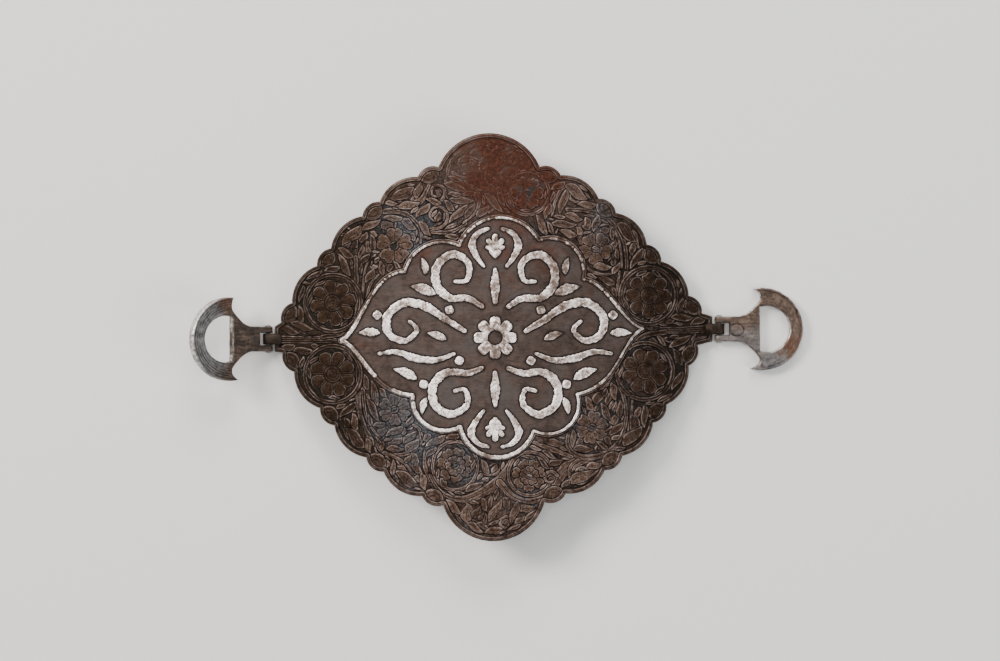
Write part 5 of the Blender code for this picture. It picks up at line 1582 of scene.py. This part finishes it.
def loop_face(side, u, v, gap):
    """Height of the face, how deep it is cut, and its chamfer: lines along the bow, a boss or a square mark
    on the neck, and a line along the bar. Everything falls away at the chamfer."""
    bow_gap = BOW_RADIUS - np.hypot(u - BOW_CENTRE, v)
    on_bow = bow_share(u, v)
    uneven = hammered(u, v, 1.3, 61)
    along = smooth(1.0 + uneven * 1.2 + 0.4 * hammered(u, v, 4.0, 62))
    cut = np.zeros_like(u)
    for place, width, strength in BOW_LINES[side]:
        line = line_mark(bow_gap - place - 0.10 * uneven, 2 * width)
        cut = np.maximum(cut, strength * along * on_bow * line)
    if side == "right":
        boss = np.hypot((u - 5.7) / 2.3, (v + 0.3) / 2.05)
        cut = np.maximum(cut, 0.9 * line_mark((boss - 1.0) * 2.1, 0.36) * smooth((u - 3.5) / 0.5))
        lift = 0.40 * np.sqrt(np.clip(1.0 - boss ** 2, 0.0, 1.0))
    else:
        mark = np.maximum(np.abs(u - 6.0) - 1.9, np.abs(v) - 1.9)
        cut = np.maximum(cut, 0.5 * line_mark(mark, 0.26))
        fork = line_mark(np.abs(np.abs(v) - 3.1 - 0.05 * (u - 6.0) ** 2), 0.24)
        cut = np.maximum(cut, 0.5 * fork * smooth((u - 3.0) / 1.0) * smooth((12.0 - u) / 2.0))
        lift = np.zeros_like(u)
    bar_line = line_mark(BAR_FACE - 1.0 - u, 0.22) * smooth((8.0 - np.abs(v)) / 1.5)
    cut = np.maximum(cut, 0.4 * bar_line)
    slope = np.clip(1.0 - gap / LOOP_CHAMFER, 0.0, 1.0)
    w = HALF_THICK + lift - LOOP_CHAMFER * slope ** 1.2 - 0.15 * cut
    w += 0.05 * hammered(u, v, 2.2, 63) + 0.035 * uneven * (1 - slope) + 0.02 * hammered(u, v, 0.45, 64)
    return w, cut, smooth(slope * 1.6)


LOOP_DARK = (0.0216, 0.0151, 0.0108, 1)
LOOP_BROWN = (0.0576, 0.0381, 0.0266, 1)
LOOP_PINK = (0.137, 0.090, 0.071, 1)
LOOP_GREY_DARK = (0.0396, 0.0367, 0.0367, 1)
LOOP_GREY = (0.166, 0.155, 0.151, 1)
LOOP_ORANGE = (0.1440, 0.0612, 0.0288, 1)
LOOP_HIGHLIGHT = (0.633, 0.568, 0.528, 1)


def make_loop_steel():
    """Bare forged steel gone pinkish brown, grey where handled, with orange rust, and edges painted bright
    with highlight and wear together.
    """
    material, nodes, shader, place = new_metal("loop_steel_worn_and_highlit", metallic=0.62)
    mix, ramp, plus, less, times = nodes.mix, nodes.ramp, nodes.plus, nodes.less, nodes.times
    cuts, edge, grey, rusty, pale = (nodes.read(name) for name in ("cut", "edge", "grey", "rusty", "pale"))
    mottle = nodes.noise(place, 380.0, 6.0, 0.72, 0.8)
    skin = plus(times(mottle, 0.9), times(pale, 0.28))
    colour = mix(ramp(skin, 0.40, 0.60), LOOP_DARK, LOOP_BROWN)
    colour = mix(ramp(skin, 0.58, 0.84), colour, LOOP_PINK)
    colour = mix(grey, colour, mix(ramp(skin, 0.44, 0.80), LOOP_GREY_DARK, LOOP_GREY))
    rust = nodes.rust(place, 190.0, rusty)
    orange = mix(0.35, rust["Colour"], LOOP_ORANGE)
    colour = mix(times(rust["Mask"], 0.8), colour, orange)
    colour = mix(times(cuts, 0.8), colour, CUT_AND_SHADE_BLACK)
    # Edges take a painted highlight and wear.
    worn = times(edge, ramp(nodes.noise(place, 900.0, 4.0, 0.7), 0.36, 0.56))
    colour = mix(worn, colour, LOOP_HIGHLIGHT)
    pits = nodes.pits(place, 1000.0, 0.6)
    colour = mix(times(pits["Mask"], 0.55), colour, CUT_AND_SHADE_BLACK)
    rough = plus(times(mottle, 0.35), 0.30)
    rough = plus(rough, times(rust["Mask"], 0.22), clamp=True)
    rough = less(rough, times(worn, 0.16), clamp=True)
    finish_metal(nodes, shader, colour, rough, plus(pits["Height"], mottle), 0.7)
    return material


loop_steel = make_loop_steel()


def on_steel(u, v, outer, opening):
    """Which points lie inside the loop's edge and outside its opening."""
    return inside(u, v, outer) & ~inside(u, v, opening)


def edge_gaps(u, v, outer, opening):
    """Distance of points from the nearer of the loop's two edges."""
    return np.minimum(*(along_route(u, v, back_to_start(route), 3.0)[0] for route in (outer, opening)))


def loop_plan(outer, opening):
    """Points of a loop's face, on its edges and on a triangular lattice between them, and the triangles that
    join them."""
    u, v = np.meshgrid(np.arange(*LATTICE_U, LOOP_STEP), np.arange(*LATTICE_V, LOOP_STEP * 0.866))
    u[1::2] += LOOP_STEP / 2
    u, v = u.ravel(), v.ravel()
    kept = on_steel(u, v, outer, opening)
    u, v = u[kept], v[kept]
    kept = edge_gaps(u, v, outer, opening) > LOOP_STEP * 0.45
    points = [Vector(point) for point in np.vstack((outer, opening, np.stack((u[kept], v[kept]), axis=-1)))]
    rings = []
    for first, count in ((0, len(outer)), (len(outer), len(opening))):
        index = np.arange(count)
        rings += np.stack((first + index, first + (index + 1) % count), axis=-1).tolist()
    corners, _, triangles, *_ = geometry.delaunay_2d_cdt(points, rings, [], 0, 1e-6)
    corners, triangles = np.array([corner[:] for corner in corners]), np.array(triangles)
    middle = corners[triangles].mean(axis=1)
    triangles = triangles[on_steel(middle[:, 0], middle[:, 1], outer, opening)]
    used, triangles = np.unique(triangles, return_inverse=True)
    return (*corners[used].T, triangles.reshape(-1, 3))


def border_ways(triangles, count):
    """The sides that only one of the triangles between a count of points has, as pairs of points."""
    ways = np.concatenate((triangles[:, [0, 1]], triangles[:, [1, 2]], triangles[:, [2, 0]]))
    codes, reverse = ways[:, 0] * count + ways[:, 1], ways[:, 1] * count + ways[:, 0]
    return ways[~np.isin(codes, reverse)]


WALL_LEVELS = (0.12, 0.5, 0.88)  # shares of the way from the face down to the back
ARM_END = 0.54
for side in ("left", "right"):
    outer, opening = loop_edge(side, LOOP_STEP), loop_opening(LOOP_STEP)
    u, v, triangles = loop_plan(outer, opening)
    gap = edge_gaps(u, v, outer, opening)
    w, cut, edge = loop_face(side, u, v, gap)
    highlight_and_wear = loop_highlight_and_wear(side, u, v)
    grey, rusty, pale = loop_colours(side, u, v)
    # the fork arms are round about the hinge
    ends = np.sqrt(np.clip(ARM_RADIUS ** 2 - np.clip(u, -ARM_RADIUS, ARM_END) ** 2, 0.01, None))
    arm = u < ARM_END
    w[arm] = np.minimum(w[arm], ends[arm] - 0.25 * np.clip(1 - gap[arm] / 0.3, 0, 1) * (u[arm] > -1.2))
    back = -np.where(arm, np.minimum(HALF_THICK, ends), HALF_THICK) + 0.04 * hammered(u, v, 1.6, 65)
    # the walls stand round the border of the face
    ways = border_ways(triangles, len(u))
    rim_points = np.unique(ways)
    order = np.searchsorted(rim_points, ways)
    rim_u, rim_v, rim_w, rim_back = (values[rim_points] for values in (u, v, w, back))
    walls = [on_hinge(side, rim_u, rim_v, rim_w + (rim_back - rim_w) * share) for share in WALL_LEVELS]
    points = np.vstack([on_hinge(side, u, v, w), on_hinge(side, u, v, back)] + walls)
    faces = triangles.tolist() + (triangles[:, ::-1] + len(u)).tolist()
    rounds = [2 * len(u) + len(rim_points) * step + order for step in range(len(WALL_LEVELS))]
    rounds = [ways] + rounds + [ways + len(u)]
    for high, low in zip(rounds, rounds[1:]):
        faces += np.stack((high[:, 0], low[:, 0], low[:, 1], high[:, 1]), axis=-1).tolist()
    loop = new_piece(side + "_strap_loop", points, faces, loop_steel, side + "_loop_body")
    loop.data.set_sharp_from_angle(angle=math.radians(38))
    # The walls take the painted highlight and wear, and the wall of the bar a painted highlight of its own.
    wall_highlight_and_wear = highlight_and_wear[rim_points] * smooth(0.85 + 0.5 * hammered(rim_u, rim_v, 1.1, 66))
    on_bar = (np.abs(rim_u - BAR_FACE) < 0.3) & (np.abs(rim_v) < 7.0)
    wall_highlight_and_wear = np.where(on_bar, smooth(0.7 + 0.9 * hammered(rim_u, rim_v, 1.5, 71)), wall_highlight_and_wear)
    for name, face, behind, wall in (
            ("cut", cut, 0.0, np.zeros(len(rim_points))), ("edge", edge * highlight_and_wear, 0.05, wall_highlight_and_wear),
            ("grey", grey, 0.35, grey[rim_points]), ("rusty", rusty, 0.30, rusty[rim_points]),
            ("pale", pale, 0.25, pale[rim_points])):
        paint(loop, name, np.concatenate((face, np.full(len(u), behind), np.tile(wall, len(WALL_LEVELS)))))
    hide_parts(side + "_loop")


# ---------------------------------------------------------------- hinge pins
# A pin is a steel rivet through the fork arms and the eye, with a low hammered dome at each end.
PIN_TIP = 4.62
PIN_PROFILE = ((4.60, 0.35), (4.52, 0.70), (4.36, 0.95), (4.20, 1.05), (4.12, 1.02), (4.12, 0.75))
# edge on the pin is its share of the painted highlight and wear colour.
PIN_LEVELS = {"cut": 0.0, "edge": 0.4, "grey": 0.4, "rusty": 0.15, "pale": 0.5}
for side in ("left", "right"):
    ends = np.array(PIN_PROFILE)
    profile = np.vstack((ends, (ends * (-1, 1))[::-1]))
    turn = full_turn(28)
    v = np.tile(profile[:, :1], (1, len(turn)))
    radius = profile[:, 1:] * (1 + 0.05 * np.cos(3 * turn + profile[:, :1]))
    ring = on_hinge(side, (radius * np.cos(turn)).ravel(), v.ravel(), (radius * np.sin(turn)).ravel())
    tips = on_hinge(side, np.zeros(2), np.array((PIN_TIP, -PIN_TIP)), np.zeros(2))
    here, tip = np.arange(len(turn)), np.full(len(turn), len(ring))
    after, last = (here + 1) % len(turn), len(ring) - len(turn)
    faces = np.vstack((np.stack((tip, after, here), axis=-1),
                       np.stack((tip + 1, last + here, last + after), axis=-1))).tolist()
    faces = grid_faces(len(profile), len(turn), closed_columns=True).tolist() + faces
    pin = new_piece(side + "_hinge_pin", np.vstack((ring, tips)), faces, loop_steel,
                    side + "_loop_body")
    paint_evenly(pin, PIN_LEVELS)
    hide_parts(side + "_pin")


# ---------------------------------------------------------------- floor, light and camera
# The guard lies face up on a pale floor, in soft light that comes mainly from the left.
FLOOR_GAP = 0.0001


def stage_floor():
    """A wide pale floor at the level the guard stands on."""
    material = bpy.data.materials.new("pale_floor")
    material.use_nodes = True
    shader = material.node_tree.nodes["Principled BSDF"]
    shader.inputs["Base Color"].default_value = (0.62, 0.61, 0.595, 1)
    shader.inputs["Roughness"].default_value = 0.85
    mesh = bpy.data.meshes.new("floor")
    mesh.from_pydata([(-3, -3, 0), (3, -3, 0), (3, 3, 0), (-3, 3, 0)], [], [(0, 1, 2, 3)])
    mesh.materials.append(material)
    floor = bpy.data.objects.new("floor", mesh)
    floor.location.z = cad_low.z - FLOOR_GAP
    bpy.context.scene.collection.objects.link(floor)


def soft_light(name, place, target, size, power, colour):
    """A square soft box at a place, turned to a target."""
    light = bpy.data.lights.new(name, "AREA")
    light.size, light.energy, light.color = size, power, colour
    lamp = bpy.data.objects.new(name, light)
    bpy.context.scene.collection.objects.link(lamp)
    lamp.location = place
    lamp.rotation_euler = (Vector(target) - Vector(place)).to_track_quat("-Z", "Y").to_euler()


stage_floor()
soft_light("key_left", (-1.3, 0.75, 1.1), (0, 0, 0), 0.6, 52.0, (1.0, 0.97, 0.93))
soft_light("overhead", (-0.12, 0.05, 1.5), (0, 0, 0), 0.7, 10.0, (1.0, 0.99, 0.97))
soft_light("fill_right", (1.2, -0.5, 0.9), (0, 0, 0), 0.9, 16.5, (0.95, 0.97, 1.0))
soft_light("back_top", (0.1, 1.1, 0.8), (0, 0, 0), 0.6, 14.0, (1.0, 1.0, 1.0))
world = bpy.data.worlds.new("studio")
world.use_nodes = True
world.node_tree.nodes["Background"].inputs[0].default_value = (0.95, 0.97, 1.0, 1)
world.node_tree.nodes["Background"].inputs[1].default_value = 0.33
bpy.context.scene.world = world

CAMERA_ASIDE, CAMERA_UP, CAMERA_HEIGHT = 0.00276, 0.0023, 0.70
VIEW_WIDTH, VIEW_LEVEL = 0.325, 0.008
camera = bpy.data.cameras.new("camera")
camera.sensor_width = 36.0
camera.lens = camera.sensor_width * (CAMERA_HEIGHT - VIEW_LEVEL) / VIEW_WIDTH
stand = bpy.data.objects.new("camera", camera)
bpy.context.scene.collection.objects.link(stand)
stand.location = (plate_x * MM + CAMERA_ASIDE, CAMERA_UP, CAMERA_HEIGHT)
bpy.context.scene.camera = stand
